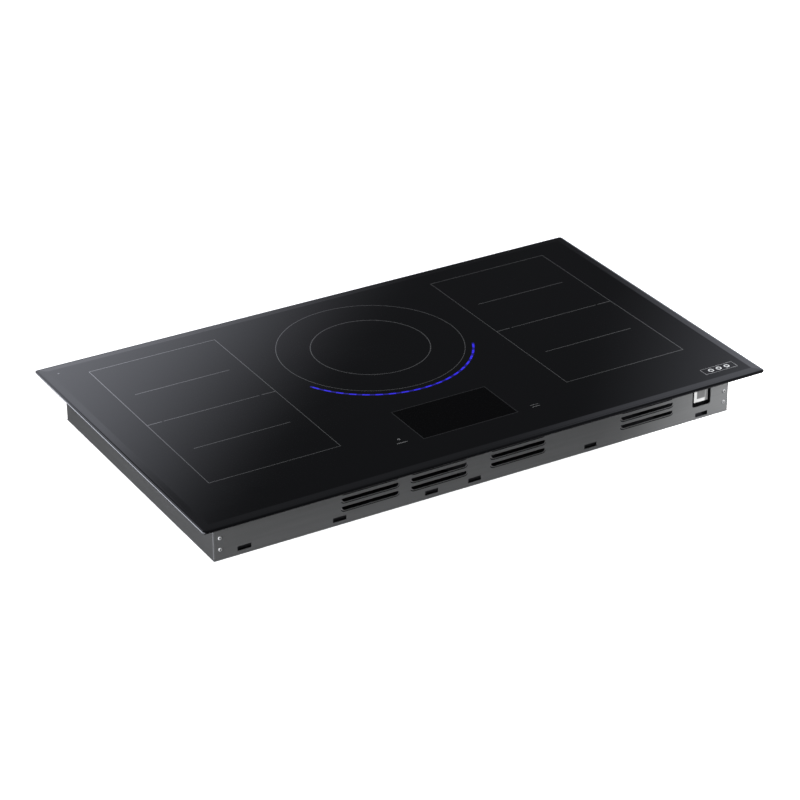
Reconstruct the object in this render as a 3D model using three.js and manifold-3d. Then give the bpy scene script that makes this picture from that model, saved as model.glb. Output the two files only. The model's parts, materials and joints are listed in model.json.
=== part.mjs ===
// Built-in electric induction cooktop of the 36 inch class, in millimetres.
// +X is the cook's right, +Y the rear, +Z up. The origin is the middle of the glass outline, at the
// underside of the base cover. A bevelled ceramic plate lies on a shallow steel chassis. Inside are a
// plastic tray with the power electronics and two blowers, a shield plate, and three sprung carriers
// that press the induction coils up against the glass.
import * as THREE from 'three';
import { mergeVertices } from 'three/addons/utils/BufferGeometryUtils.js';
import Module from 'manifold-3d';

const wasm = await Module();
wasm.setup();

// ---------------------------------------------------------------- driving dimensions
const INCH = 25.4;
const GAP = 0.3;                   // clearance between neighbouring pieces
const SHEET = 1.2;                 // steel sheet of the chassis

const RIM = { width: 1.5, drop: 1.3 };       // rounded rim of the plate, outside its nominal size
const GLASS_WIDTH = 36 * INCH + 2 * RIM.width;
const GLASS_DEPTH = 21.25 * INCH + 2 * RIM.width;
const GLASS_THICK = 4;
const GLASS_CORNER = 5;            // plan radius of the plate's corners
const GLASS_FACE_CORNER = 2;       // and of the flat face inside the bevel
const BEVEL_WIDTH = 13.3;
const BEVEL_DROP = 0.9;

const WORKTOP_LEVEL = 71.7;        // base underside to the underside of the rim seal
const SEAL_THICK = 1.4;
const SEAL_WIDTH = 18;
const SEAL_INSET = 1.2;
const SEAL_CORNER = 4;

const SIDE_INSET = 33.5;           // from the glass edge to the chassis, on the left and right
const FRONT_INSET = 40;
const REAR_INSET = 31.05;
const BASE_INSET = 0.2;            // from the panel faces to the edge of the base cover
const BEND_RADIUS = 1.8;
const CORNER_FLANGE = 16;          // flanges of the side panels that the end panels screw to
const LIP = 13;                    // flanges along the top and bottom of every panel

const LOUVRE_WIDTH = 90;
const LOUVRE_HEIGHT = 6;
const LOUVRE_ROUND = 2;            // radius of a slit's two lower corners
const LOUVRE_CENTRES = [-182.6, -72, 58.3, 279];
const LOUVRE_LEVELS = [24.5, 37.5, 50.5];
const SLOTS = [[-378.5, 10.2], [-231, 9.9], [-84, 10], [-13.5, 9.7], [182, 9.2], [376.8, 7.3]];
const SLOT_HALF = [10.75, 3.6];     // half width and half height, about the centres above
const WINDOW = { left: 359.7, right: 392.2, low: 21, high: 58, round: 4 };
const SCREW_OFFSET = 415.7;        // front and rear screws, from the middle
const SCREW_LEVELS = [17.6, 35.2];

const ZONE_INNER = 187.5;          // flexible zones, from the middle
const ZONE_OUTER = 392.5;
const ZONE_FRONT = 113.5;          // from the front edge of the glass
const ZONE_REAR = 495.5;
const COILS_PER_ZONE = 4;
const RING_FROM_FRONT = 356.3;     // centre of the round zone, from the front edge of the glass
const RING_RADIUS = 140;
const ARC_RADIUS = 152.7;          // flame light in front of the round zone
const ARC_HALF_ANGLE = 63.7;       // degrees to each side of straight ahead
const DISPLAY = { width: 155, depth: 90, fromFront: 117.4 };

const TRAY_SETBACK = 7.5;          // front wall of the tray, behind the face of the front panel
const SHIELD_LEVEL = 47.2;
const CARRIER_LEVEL = 59.1;
const SPRING = { outer: 6.5, inner: 4.5 };

const BLOWERS = { left: -127, right: 230 };
const BLOWER_Y = 110;
const DUCT_MOUTHS = { left: [-232, -22], right: [10, 328] };

// ---------------------------------------------------------------- levels and places that follow
const fromFront = distance => distance - GLASS_DEPTH / 2;
const HALF_WIDTH = GLASS_WIDTH / 2 - SIDE_INSET;
const FRONT = fromFront(FRONT_INSET);
const REAR = GLASS_DEPTH / 2 - REAR_INSET;
const GLASS_BOTTOM = WORKTOP_LEVEL + SEAL_THICK + GAP;
const GLASS_TOP = GLASS_BOTTOM + GLASS_THICK;
const PANEL_BOTTOM = SHEET + GAP;
const PANEL_TOP = GLASS_BOTTOM - GAP;
const RING_Y = fromFront(RING_FROM_FRONT);
const ZONE_X = (ZONE_INNER + ZONE_OUTER) / 2;
const ZONE_Y = fromFront((ZONE_FRONT + ZONE_REAR) / 2);
const COIL_PITCH = (ZONE_REAR - ZONE_FRONT) / COILS_PER_ZONE;
const DISPLAY_Y = fromFront(DISPLAY.fromFront);

// ---------------------------------------------------------------- finishes
const finish = (color, roughness, metalness) =>
  new THREE.MeshStandardMaterial({ color, roughness, metalness });
const CERAMIC = finish(0x0c0d0f, 0.06, 0);
const FOAM = finish(0x17181a, 0.9, 0);
const GREY_STEEL = finish(0x55585b, 0.5, 0.6);
const ZINC_STEEL = finish(0x9a9da0, 0.45, 0.9);
const SCREW_STEEL = finish(0xb9bcc0, 0.3, 1);
const BLACK_PLASTIC = finish(0x141416, 0.6, 0);
const PALE_PLASTIC = finish(0xd8d6cc, 0.55, 0);
const CLEAR_PLASTIC = finish(0xcfd8e6, 0.2, 0);
const CIRCUIT_BOARD = finish(0x1f5a35, 0.55, 0);
const ALUMINIUM = finish(0xb4b7ba, 0.4, 0.9);
const COPPER = finish(0xb06a3c, 0.45, 0.8);

// ---------------------------------------------------------------- solids
function toSolid(geometry) {
  const bare = geometry.clone();
  bare.deleteAttribute('normal');
  bare.deleteAttribute('uv');
  const merged = mergeVertices(bare, 1e-4);
  return new wasm.Manifold(new wasm.Mesh({
    numProp: 3,
    vertProperties: Float32Array.from(merged.attributes.position.array),
    triVerts: Uint32Array.from(merged.index.array),
  }));
}

function toGeometry(solid) {
  const mesh = solid.getMesh();
  const geometry = new THREE.BufferGeometry();
  geometry.setAttribute('position', new THREE.BufferAttribute(mesh.vertProperties, 3));
  geometry.setIndex(new THREE.BufferAttribute(mesh.triVerts, 1));
  return geometry;
}

function join(...pieces) {
  return toGeometry(pieces.map(toSolid).reduce((sum, piece) => sum.add(piece)));
}

function cut(piece, ...tools) {
  return toGeometry(tools.map(toSolid).reduce((rest, tool) => rest.subtract(tool), toSolid(piece)));
}

// A box given by its lowest and highest corners.
function block([x0, y0, z0], [x1, y1, z1]) {
  const box = new THREE.BoxGeometry(x1 - x0, y1 - y0, z1 - z0);
  return box.translate((x0 + x1) / 2, (y0 + y1) / 2, (z0 + z1) / 2);
}

// An upright cylinder.
function post(radius, x, y, low, high, sides = 16) {
  const cylinder = new THREE.CylinderGeometry(radius, radius, high - low, sides);
  return cylinder.rotateX(Math.PI / 2).translate(x, y, (low + high) / 2);
}

// A cylinder along Y.
function pin(radius, x, z, near, far, sides = 16) {
  return new THREE.CylinderGeometry(radius, radius, far - near, sides).translate(x, (near + far) / 2, z);
}

// A plan outline raised from one level to another.
function raise(shape, low, high, curveSegments = 8) {
  const depth = high - low;
  const solid = new THREE.ExtrudeGeometry(shape, { depth, bevelEnabled: false, curveSegments });
  return solid.translate(0, 0, low);
}

// An outline drawn in X and Z, standing upright with its thickness along Y.
function stand(shape, near, far, curveSegments = 5) {
  const depth = far - near;
  const solid = new THREE.ExtrudeGeometry(shape, { depth, bevelEnabled: false, curveSegments });
  return solid.rotateX(Math.PI / 2).translate(0, far, 0);
}

// ---------------------------------------------------------------- outlines
const points = pairs => pairs.map(([x, y]) => new THREE.Vector2(x, y));
const rectangle = (x0, y0, x1, y1) => points([[x0, y0], [x1, y0], [x1, y1], [x0, y1]]);

function arc(x, y, radius, from, to, steps) {
  return Array.from({ length: steps + 1 }, (_, step) => {
    const angle = THREE.MathUtils.degToRad(from + (to - from) * step / steps);
    return [x + radius * Math.cos(angle), y + radius * Math.sin(angle)];
  });
}

function circle(x, y, radius, sides) {
  return points(arc(x, y, radius, 0, 360, sides).slice(0, -1));
}

// A rectangle with round corners, anticlockwise.
function roundedRectangle(width, height, radius, steps) {
  const corners = [[1, 1, 0], [-1, 1, 90], [-1, -1, 180], [1, -1, 270]];
  return points(corners.flatMap(([sx, sy, start]) =>
    arc(sx * (width / 2 - radius), sy * (height / 2 - radius), radius, start, start + 90, steps)));
}

// A slot with two round ends, along X.
function stadium(x, y, halfLength, radius, steps = 4) {
  const reach = halfLength - radius;
  const right = arc(x + reach, y, radius, -90, 90, steps);
  return points([...right, ...arc(x - reach, y, radius, 90, 270, steps)]);
}

// A rectangle whose two lower corners are round.
function roundBottomed(x0, y0, x1, y1, radius) {
  return points([[x1, y1], [x0, y1], ...arc(x0 + radius, y0 + radius, radius, 180, 270, 4),
    ...arc(x1 - radius, y0 + radius, radius, 270, 360, 4)]);
}

function withHoles(outline, holes) {
  const shape = new THREE.Shape(outline);
  shape.holes = holes.map(hole => new THREE.Path(hole));
  return shape;
}

// ---------------------------------------------------------------- the assembly
const cooktop = new THREE.Group();

function part(name, geometry, material, x = 0, y = 0, z = 0) {
  const mesh = new THREE.Mesh(geometry, material);
  mesh.name = name;
  mesh.position.set(x, y, z);
  cooktop.add(mesh);
}

const SIDES = { left: -1, right: 1 };

// ---------------------------------------------------------------- glass and seal
// Closed solid through outlines stacked from the bottom up.
function loft(layers) {
  const count = layers[0].outline.length;
  const last = (layers.length - 1) * count;
  const position = layers.flatMap(({ outline, z }) => outline.flatMap(({ x, y }) => [x, y, z]));
  const index = [];
  for (let layer = 0; layer < last; layer += count) {
    for (let i = 0; i < count; i++) {
      const [a, b] = [layer + i, layer + (i + 1) % count];
      index.push(a, b, b + count, a, b + count, a + count);
    }
  }
  for (let i = 1; i < count - 1; i++) {
    index.push(0, i + 1, i, last, last + i, last + i + 1);
  }
  const geometry = new THREE.BufferGeometry();
  geometry.setAttribute('position', new THREE.Float32BufferAttribute(position, 3));
  return geometry.setIndex(index);
}

// Plan outline of the plate, drawn in from its edge.
function glassOutline(inset) {
  const radius = Math.max(GLASS_CORNER - inset, GLASS_FACE_CORNER);
  return roundedRectangle(GLASS_WIDTH - 2 * inset, GLASS_DEPTH - 2 * inset, radius, 8);
}

function glassPlate() {
  return loft([
    { outline: glassOutline(0), z: GLASS_BOTTOM },
    { outline: glassOutline(0), z: GLASS_TOP - BEVEL_DROP - RIM.drop },
    { outline: glassOutline(RIM.width), z: GLASS_TOP - BEVEL_DROP },
    { outline: glassOutline(RIM.width + BEVEL_WIDTH), z: GLASS_TOP },
  ]);
}

function rimSeal() {
  const ring = inset =>
    roundedRectangle(GLASS_WIDTH - 2 * inset, GLASS_DEPTH - 2 * inset, SEAL_CORNER, 3);
  const shape = withHoles(ring(SEAL_INSET), [ring(SEAL_INSET + SEAL_WIDTH)]);
  return raise(shape, WORKTOP_LEVEL, WORKTOP_LEVEL + SEAL_THICK);
}

part('glass_top', glassPlate(), CERAMIC);
part('rim_seal', rimSeal(), FOAM);

// ---------------------------------------------------------------- chassis panels
const SCREW_HOLE = 1.9;             // radius

// Top and bottom flanges of an end panel whose outer face is at y, turned towards the inside.
function endFlanges(y, inward) {
  const reach = HALF_WIDTH - CORNER_FLANGE - 2;
  const [near, far] = [Math.min(y, y + inward * LIP), Math.max(y, y + inward * LIP)];
  return [
    block([-reach, near, PANEL_TOP - SHEET], [reach, far, PANEL_TOP]),
    block([-reach, near, PANEL_BOTTOM], [reach, far, PANEL_BOTTOM + SHEET]),
  ];
}

function endPlate(near, far, holes) {
  const reach = HALF_WIDTH - BEND_RADIUS;
  const plate = block([-reach, near, PANEL_BOTTOM], [reach, far, PANEL_TOP]);
  return cut(plate, ...holes.map(hole => stand(new THREE.Shape(hole), near - 1, far + 1)));
}

const screwHoles = () => [-1, 1].flatMap(side =>
  SCREW_LEVELS.map(level => circle(side * SCREW_OFFSET, level, SCREW_HOLE, 10)));

function frontPanel() {
  const slits = LOUVRE_CENTRES.flatMap(x => LOUVRE_LEVELS.map(z => roundBottomed(x - LOUVRE_WIDTH / 2,
    z - LOUVRE_HEIGHT / 2, x + LOUVRE_WIDTH / 2, z + LOUVRE_HEIGHT / 2, LOUVRE_ROUND)));
  const [dx, dz] = SLOT_HALF;
  const slots = SLOTS.map(([x, z]) => rectangle(x - dx, z - dz, x + dx, z + dz));
  const window = roundBottomed(WINDOW.left, WINDOW.low, WINDOW.right, WINDOW.high, WINDOW.round);
  const plate = endPlate(FRONT, FRONT + SHEET, [...slits, ...slots, window, ...screwHoles()]);
  return join(plate, ...endFlanges(FRONT, 1));
}

// The supply connection sits behind the rear panel, on the right.
const SUPPLY = { x: 325, z: 28, halfWidth: 55, halfHeight: 18, depth: 46 };
const OPENING_INSET = { x: 6, z: 4 };         // from the sides of the terminal box
const VENT_FIELDS = [-280, -80, 120];
const VENT = { count: 8, pitch: 9, halfWidth: 1.7, low: 24, high: 50 };

function ventField(middle) {
  const { count, pitch, halfWidth, low, high } = VENT;
  return Array.from({ length: count }, (_, i) => {
    const x = middle + (i - (count - 1) / 2) * pitch;
    return rectangle(x - halfWidth, low, x + halfWidth, high);
  });
}

function rearPanel() {
  const [dx, dz] = [SUPPLY.halfWidth - OPENING_INSET.x, SUPPLY.halfHeight - OPENING_INSET.z];
  const opening = rectangle(SUPPLY.x - dx, SUPPLY.z - dz, SUPPLY.x + dx, SUPPLY.z + dz);
  const vents = VENT_FIELDS.flatMap(ventField);
  const plate = endPlate(REAR - SHEET, REAR, [opening, ...vents, ...screwHoles()]);
  return join(plate, ...endFlanges(REAR, -1));
}

// A folded channel: web along Y, with flanges at the front, rear, top and bottom.
function sidePanel(side) {
  const [near, far] = [FRONT + SHEET + GAP, REAR - SHEET - GAP];
  const [tip, bend, inner] = [HALF_WIDTH - CORNER_FLANGE, HALF_WIDTH - BEND_RADIUS, BEND_RADIUS - SHEET];
  const outline = [[tip, near], ...arc(bend, near + BEND_RADIUS, BEND_RADIUS, -90, 0, 4),
    ...arc(bend, far - BEND_RADIUS, BEND_RADIUS, 0, 90, 4), [tip, far], [tip, far - SHEET],
    ...arc(bend, far - BEND_RADIUS, inner, 90, 0, 2), ...arc(bend, near + BEND_RADIUS, inner, 0, -90, 2),
    [tip, near + SHEET]];
  const section = new THREE.Shape(points(outline.map(([x, y]) => [side * x, y])));
  const web = raise(section, PANEL_BOTTOM, PANEL_TOP);
  const [x0, x1] = [side * HALF_WIDTH, side * (HALF_WIDTH - LIP)].sort((a, b) => a - b);
  const inset = LIP + 2;
  const lips = [PANEL_BOTTOM, PANEL_TOP - SHEET].map(low =>
    block([x0, near + inset, low], [x1, far - inset, low + SHEET]));
  const holes = SCREW_LEVELS.flatMap(level => [near, far].map(y =>
    pin(SCREW_HOLE, side * SCREW_OFFSET, level, y - 4, y + 4, 10)));
  return cut(join(web, ...lips), ...holes);
}

// Finger-safe intake slots below a blower.
function intakeGrille(x) {
  const [reach, pitch, halfSlot, count] = [38, 8, 1.8, 9];
  const rows = Array.from({ length: count }, (_, row) => (row - (count - 1) / 2) * pitch);
  const halfLength = offset => Math.sqrt(reach * reach - offset * offset);
  return rows.map(offset => stadium(x, BLOWER_Y + offset, halfLength(offset), halfSlot, 3));
}

function baseCover() {
  const reach = HALF_WIDTH - BASE_INSET;
  const plate = block([-reach, FRONT + BASE_INSET, 0], [reach, REAR - BASE_INSET, SHEET]);
  const slots = Object.values(BLOWERS).flatMap(intakeGrille);
  return cut(plate, ...slots.map(slot => raise(new THREE.Shape(slot), -1, SHEET + 1)));
}

part('front_panel', frontPanel(), GREY_STEEL);
part('rear_panel', rearPanel(), GREY_STEEL);
for (const [name, side] of Object.entries(SIDES)) part(`side_panel_${name}`, sidePanel(side), GREY_STEEL);
part('base_cover', baseCover(), ZINC_STEEL);

// Pan-head screw pointing along +Y, its head's seat at y = 0.
function panScrew() {
  const head = [[0, -2.1], [1.6, -2.1], [2.6, -1.5], [3, -0.7], [3, -GAP]];
  const profile = points([...head, [1.5, -GAP], [1.5, 6], [0, 7]]);
  return new THREE.LatheGeometry(profile, 12);
}

for (const [name, side] of Object.entries(SIDES)) {
  SCREW_LEVELS.forEach((level, row) => {
    const place = ['lower', 'upper'][row];
    part(`front_screw_${name}_${place}`, panScrew(), SCREW_STEEL, side * SCREW_OFFSET, FRONT, level);
  });
}

// ---------------------------------------------------------------- electronics tray
const TRAY = {
  half: 403, front: FRONT + TRAY_SETBACK, rear: 188, low: 3.2, wall: 2, top: SHIELD_LEVEL - GAP,
};
const TRAY_FLOOR = TRAY.low + TRAY.wall;
const MOUTH_SILL = 17;             // lower edge of the duct mouths in the front wall
const BLOWER = {
  radius: 54, wall: 2.2, mouth: -61, low: TRAY_FLOOR + GAP, high: 38, inlet: 37, shaft: 2.5,
};
const ROTOR = { radius: 46, inner: 33, low: 9, high: 33.5, hub: 10, bore: 2.9, blades: 16, sides: 32 };
const BOARD_LEVEL = 9;
const BOARD_THICK = 1.6;
const BOARD_TOP = BOARD_LEVEL + BOARD_THICK;
const BOARDS = {
  inverter_board_left: [-395, -214, -45, 44],
  inverter_board_right: [45, -214, 395, 44],
  filter_board: [288, 60, 398, 182],
};

function trayPosts([x0, y0, x1, y1]) {
  const inset = 6;
  return [x0 + inset, x1 - inset].flatMap(x => [y0 + inset, y1 - inset]
    .map(y => post(3, x, y, TRAY.low + 1, BOARD_LEVEL - GAP, 8)));
}

function electronicsTray() {
  const { half, front, rear, low, wall, top } = TRAY;
  const outside = block([-half, front, low], [half, rear, top]);
  const inside = block([-half + wall, front + wall, TRAY_FLOOR], [half - wall, rear - wall, top + 1]);
  const mouths = Object.values(DUCT_MOUTHS).map(([x0, x1]) =>
    block([x0, front - 1, MOUTH_SILL], [x1, front + wall + 1, top + 1]));
  const inlets = Object.values(BLOWERS).map(x =>
    post(BLOWER.inlet + 3, x, BLOWER_Y, low - 1, TRAY_FLOOR + 1, 24));
  return join(cut(outside, inside, ...mouths, ...inlets), ...Object.values(BOARDS).flatMap(trayPosts));
}

part('electronics_tray', electronicsTray(), BLACK_PLASTIC);
for (const [name, [x0, y0, x1, y1]] of Object.entries(BOARDS)) {
  part(name, block([x0, y0, BOARD_LEVEL], [x1, y1, BOARD_TOP]), CIRCUIT_BOARD);
}

// ---------------------------------------------------------------- cooling
const SINK = { half: 50, front: -76, rear: 44, base: 5, fin: 1.6, count: 13, top: 38 };

// Finned extrusion, its fins along Y.
function heatSink() {
  const { half, base, fin, count } = SINK;
  const height = SINK.top - BOARD_TOP - GAP;
  const pitch = (2 * half - fin) / (count - 1);
  const comb = Array.from({ length: count }, (_, i) => -half + i * pitch)
    .flatMap(x => [[x, base], [x, height], [x + fin, height], [x + fin, base]]);
  const outline = [[half, 0], [-half, 0], ...comb.slice(1, -1)];
  return stand(new THREE.Shape(points(outline)), SINK.front, SINK.rear);
}


// Half round at the back, open mouth at the front.
function scroll(radius, mouth) {
  return new THREE.Shape(points([...arc(0, 0, radius, 0, 180, 16), [-radius, mouth], [radius, mouth]]));
}

// Centrifugal blower case, with the rotor's fixed shaft under its roof.
function blowerHousing() {
  const { radius, wall, mouth, low, high, inlet, shaft } = BLOWER;
  const inside = raise(scroll(radius - wall, mouth - 1), low + wall, high - wall);
  const eye = post(inlet, 0, 0, low - 1, low + wall + 1, 24);
  const seat = post(14, 0, 0, high - wall - 1, high - wall / 2, 16);
  const shell = cut(raise(scroll(radius, mouth), low, high), inside, eye);
  return join(shell, seat, post(shaft, 0, 0, 18, high - wall / 2, 12));
}

function rotorBlade(turn) {
  const [sweep, thick] = [16, 2.2];   // degrees
  const radii = [ROTOR.inner, (ROTOR.inner + ROTOR.radius) / 2, ROTOR.radius - 0.6];
  const edge = shift => radii.map((radius, step) => {
    const angle = THREE.MathUtils.degToRad(turn + shift + sweep * step * step / 4);
    return [radius * Math.cos(angle), radius * Math.sin(angle)];
  });
  const outline = points([...edge(0), ...edge(thick).reverse()]);
  return raise(new THREE.Shape(outline), ROTOR.low + 0.5, ROTOR.high - 0.5);
}

// Blades between a closed back plate and a front ring, around a hub with a blind bore.
function blowerRotor() {
  const { radius, inner, low, high, hub, bore, blades, sides } = ROTOR;
  const plate = post(radius, 0, 0, high - 1.5, high, sides);
  const ring = ringSolid([inner + 3, radius], low, low + 1.5, sides);
  const all = Array.from({ length: blades }, (_, i) => rotorBlade(i * 360 / blades));
  const body = join(plate, ring, post(hub, 0, 0, 15, high - 1, 16), ...all);
  return cut(body, post(bore, 0, 0, 17, high + 1, 10));
}

// Inverted channel over the heat sink, flaring out to the louvres it feeds.
function airDuct(x, [left, right]) {
  const [half, wall, top, throat] = [54, 1.5, 41.5, -80];
  const [mouth, back] = [TRAY.front + TRAY.wall + GAP, SINK.rear + 2];
  const outline = (inset, over) => new THREE.Shape(points([[x - half + inset, back + over],
    [x - half + inset, throat], [left + inset, mouth - over], [right - inset, mouth - over],
    [x + half - inset, throat], [x + half - inset, back + over]]));
  const low = BOARD_TOP + GAP;
  return cut(raise(outline(0, 0), low, top), raise(outline(wall, 0.01), low - 1, top - wall));
}

for (const [name, x] of Object.entries(BLOWERS)) {
  part(`heat_sink_${name}`, heatSink(), ALUMINIUM, x, 0, BOARD_TOP + GAP);
  part(`blower_housing_${name}`, blowerHousing(), BLACK_PLASTIC, x, BLOWER_Y);
  part(`blower_rotor_${name}`, blowerRotor(), PALE_PLASTIC, x, BLOWER_Y);
  part(`air_duct_${name}`, airDuct(x, DUCT_MOUTHS[name]), BLACK_PLASTIC);
}

// ---------------------------------------------------------------- shield plate
const SHIELD_TOP = SHIELD_LEVEL + 1.5;
const SHIELD_INSET = 8;

// Flat screen between the electronics and the coils, with passages for the coil leads.
function shieldPlate() {
  const reach = HALF_WIDTH - CORNER_FLANGE - 3;
  const [near, far] = [FRONT + SHIELD_INSET, REAR - LIP - 2];
  const plate = block([-reach, near, SHIELD_LEVEL], [reach, far, SHIELD_TOP]);
  const passages = [-ZONE_X + 110, 0, ZONE_X - 110].map(x => new THREE.Shape(stadium(x, -86, 20, 6)));
  return cut(plate, ...passages.map(passage => raise(passage, SHIELD_LEVEL - 1, SHIELD_TOP + 1)));
}

part('shield_plate', shieldPlate(), ZINC_STEEL);

// ---------------------------------------------------------------- coils on their carriers
const CARRIER_THICK = 2.5;
const FORMER_LOW = CARRIER_LEVEL + CARRIER_THICK + GAP;
const FORMER_FLOOR = FORMER_LOW + 3.5;
const WINDING_LOW = FORMER_FLOOR + GAP;
const WINDING_TOP = 71.8;
const SPRING_LOW = SHIELD_TOP + GAP;
const SPRING_TOP = CARRIER_LEVEL - GAP;
const BOSS_RADIUS = 3.4;
const BOSS_LOW = 54;

const FLEX = { half: [102, 190], coilHalfLength: 94, coilHalfWidth: 42, build: 28 };
const FLEX_SPRINGS = [[-86, -176], [86, -176], [-86, 176], [86, 176]];
const ROUND_SPRINGS = [90, 210, 330].map(angle => arc(0, 0, 120, angle, angle, 1)[0]);
const ROUND = {
  carrier: 142, wallOuter: 90.5, wallInner: 86, hub: 20, inner: [22, 84], outer: [92.5, 138],
};
const coilOffsets = Array.from({ length: COILS_PER_ZONE },
  (_, i) => (i - (COILS_PER_ZONE - 1) / 2) * COIL_PITCH);

// Plate with a locating boss inside each spring.
function carrier(outline, holes, springs) {
  const top = CARRIER_LEVEL + CARRIER_THICK;
  const tools = holes.map(hole => raise(new THREE.Shape(hole), CARRIER_LEVEL - 1, top + 1));
  const plate = cut(raise(new THREE.Shape(outline), CARRIER_LEVEL, top), ...tools);
  const bosses = springs.map(([x, y]) => post(BOSS_RADIUS, x, y, BOSS_LOW, CARRIER_LEVEL + 1, 10));
  return join(plate, ...bosses);
}

function flexCarrier() {
  const [x, y] = FLEX.half;
  const windows = coilOffsets.map(offset => stadium(0, offset, 40, 9));
  return carrier(roundedRectangle(2 * x, 2 * y, 6, 3), windows, FLEX_SPRINGS);
}

function flexFormer() {
  const { half: [x, y], coilHalfLength, coilHalfWidth, build } = FLEX;
  const outline = new THREE.Shape(roundedRectangle(2 * x - 4, 2 * y - 4, 5, 3));
  const plate = raise(outline, FORMER_LOW, FORMER_FLOOR);
  const inner = build + 1;
  const hub = offset => withHoles(
    stadium(0, offset, coilHalfLength - inner, coilHalfWidth - inner), [stadium(0, offset, 30, 6)]);
  const hubs = coilOffsets.map(offset => raise(hub(offset), FORMER_FLOOR - 1, WINDING_TOP));
  return join(plate, ...hubs);
}

function flexWinding() {
  const { coilHalfLength, coilHalfWidth, build } = FLEX;
  const outside = stadium(0, 0, coilHalfLength, coilHalfWidth, 10);
  const inside = stadium(0, 0, coilHalfLength - build, coilHalfWidth - build, 8);
  return raise(withHoles(outside, [inside]), WINDING_LOW, WINDING_TOP);
}

function ringSolid([inner, outer], low, high, sides) {
  return raise(withHoles(circle(0, 0, outer, sides), [circle(0, 0, inner, sides)]), low, high);
}

function roundFormer() {
  const plate = raise(new THREE.Shape(circle(0, 0, ROUND.carrier - 2, 40)), FORMER_LOW, FORMER_FLOOR);
  const wall = ringSolid([ROUND.wallInner, ROUND.wallOuter], FORMER_FLOOR - 1, WINDING_TOP, 36);
  const hub = ringSolid([12, ROUND.hub], FORMER_FLOOR - 1, WINDING_TOP, 16);
  return join(plate, wall, hub);
}

function roundCarrier() {
  const windows = [30, 150, 270].map(angle => circle(...arc(0, 0, 70, angle, angle, 1)[0], 18, 12));
  return carrier(circle(0, 0, ROUND.carrier, 40), windows, ROUND_SPRINGS);
}

// Outer shape of a compression spring.
const springSleeve = () => ringSolid([SPRING.inner, SPRING.outer], SPRING_LOW, SPRING_TOP, 12);

function sprung(carrierName, springs, x, y) {
  springs.forEach(([dx, dy], i) =>
    part(`carrier_spring_${carrierName}_${i + 1}`, springSleeve(), SCREW_STEEL, x + dx, y + dy));
}

for (const [name, side] of Object.entries(SIDES)) {
  const x = side * ZONE_X;
  part(`coil_carrier_${name}`, flexCarrier(), ALUMINIUM, x, ZONE_Y);
  part(`flex_former_${name}`, flexFormer(), PALE_PLASTIC, x, ZONE_Y);
  coilOffsets.forEach((offset, i) =>
    part(`flex_coil_${name}_${i + 1}`, flexWinding(), COPPER, x, ZONE_Y + offset));
  sprung(name, FLEX_SPRINGS, x, ZONE_Y);
}
part('coil_carrier_centre', roundCarrier(), ALUMINIUM, 0, RING_Y);
part('centre_former', roundFormer(), PALE_PLASTIC, 0, RING_Y);
part('centre_coil_inner', ringSolid(ROUND.inner, WINDING_LOW, WINDING_TOP, 36), COPPER, 0, RING_Y);
part('centre_coil_outer', ringSolid(ROUND.outer, WINDING_LOW, WINDING_TOP, 48), COPPER, 0, RING_Y);
sprung('centre', ROUND_SPRINGS, 0, RING_Y);

// ---------------------------------------------------------------- flame light
const LIGHT_BOARD_LEVEL = 64.5;

// Band along the arc in front of the round zone.
function arcBand(inner, outer, low, high, steps) {
  const [from, to] = [-90 - ARC_HALF_ANGLE, -90 + ARC_HALF_ANGLE];
  const outline = [...arc(0, 0, outer, from, to, steps), ...arc(0, 0, inner, to, from, steps)];
  return raise(new THREE.Shape(points(outline)), low, high);
}

function lightBoard() {
  const top = LIGHT_BOARD_LEVEL + BOARD_THICK;
  const band = arcBand(ARC_RADIUS - 6, ARC_RADIUS + 6, LIGHT_BOARD_LEVEL, top, 18);
  const legs = [-60, 0, 60].map(angle => arc(0, 0, ARC_RADIUS, angle - 90, angle - 90, 1)[0])
    .map(([x, y]) => post(3, x, y, SHIELD_TOP + GAP, LIGHT_BOARD_LEVEL + 1, 10));
  return join(band, ...legs);
}

function lightGuide() {
  const low = LIGHT_BOARD_LEVEL + BOARD_THICK + GAP;
  return arcBand(ARC_RADIUS - 2.5, ARC_RADIUS + 2.5, low, PANEL_TOP, 28);
}

part('flame_light_board', lightBoard(), CIRCUIT_BOARD, 0, RING_Y);
part('flame_light_guide', lightGuide(), CLEAR_PLASTIC, 0, RING_Y);

// ---------------------------------------------------------------- touch control and display
const CONTROL = { half: [128, 57], floor: 60, wall: 2, rim: 72.6 };

// Open tray on four legs.
function controlCarrier() {
  const { half: [x, y], floor, wall, rim } = CONTROL;
  const shell = cut(block([-x, -y, floor], [x, y, rim]),
    block([-x + wall, -y + wall, floor + wall], [x - wall, y - wall, rim + 1]));
  const legs = [[-1, -1], [1, -1], [-1, 1], [1, 1]].map(([sx, sy]) =>
    post(4, sx * (x - 8), sy * (y - 8), SHIELD_TOP + GAP, floor + 1, 12));
  return join(shell, ...legs);
}

const CONTROL_BOARD_LEVEL = CONTROL.floor + CONTROL.wall + GAP;
const CONTROL_BOARD_TOP = CONTROL_BOARD_LEVEL + BOARD_THICK;

function controlBoard() {
  const [x, y] = CONTROL.half.map(half => half - CONTROL.wall - 1);
  return block([-x, -y, CONTROL_BOARD_LEVEL], [x, y, CONTROL_BOARD_TOP]);
}

// Light box with a shallow recess for the indicator sheet.
function displayModule() {
  const [x, y] = [DISPLAY.width / 2, DISPLAY.depth / 2];
  const low = CONTROL_BOARD_TOP + GAP;
  return cut(block([-x, -y, low], [x, y, CONTROL.rim]),
    block([-x + 3, -y + 3, CONTROL.rim - 1.2], [x - 3, y - 3, CONTROL.rim + 1]));
}

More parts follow.
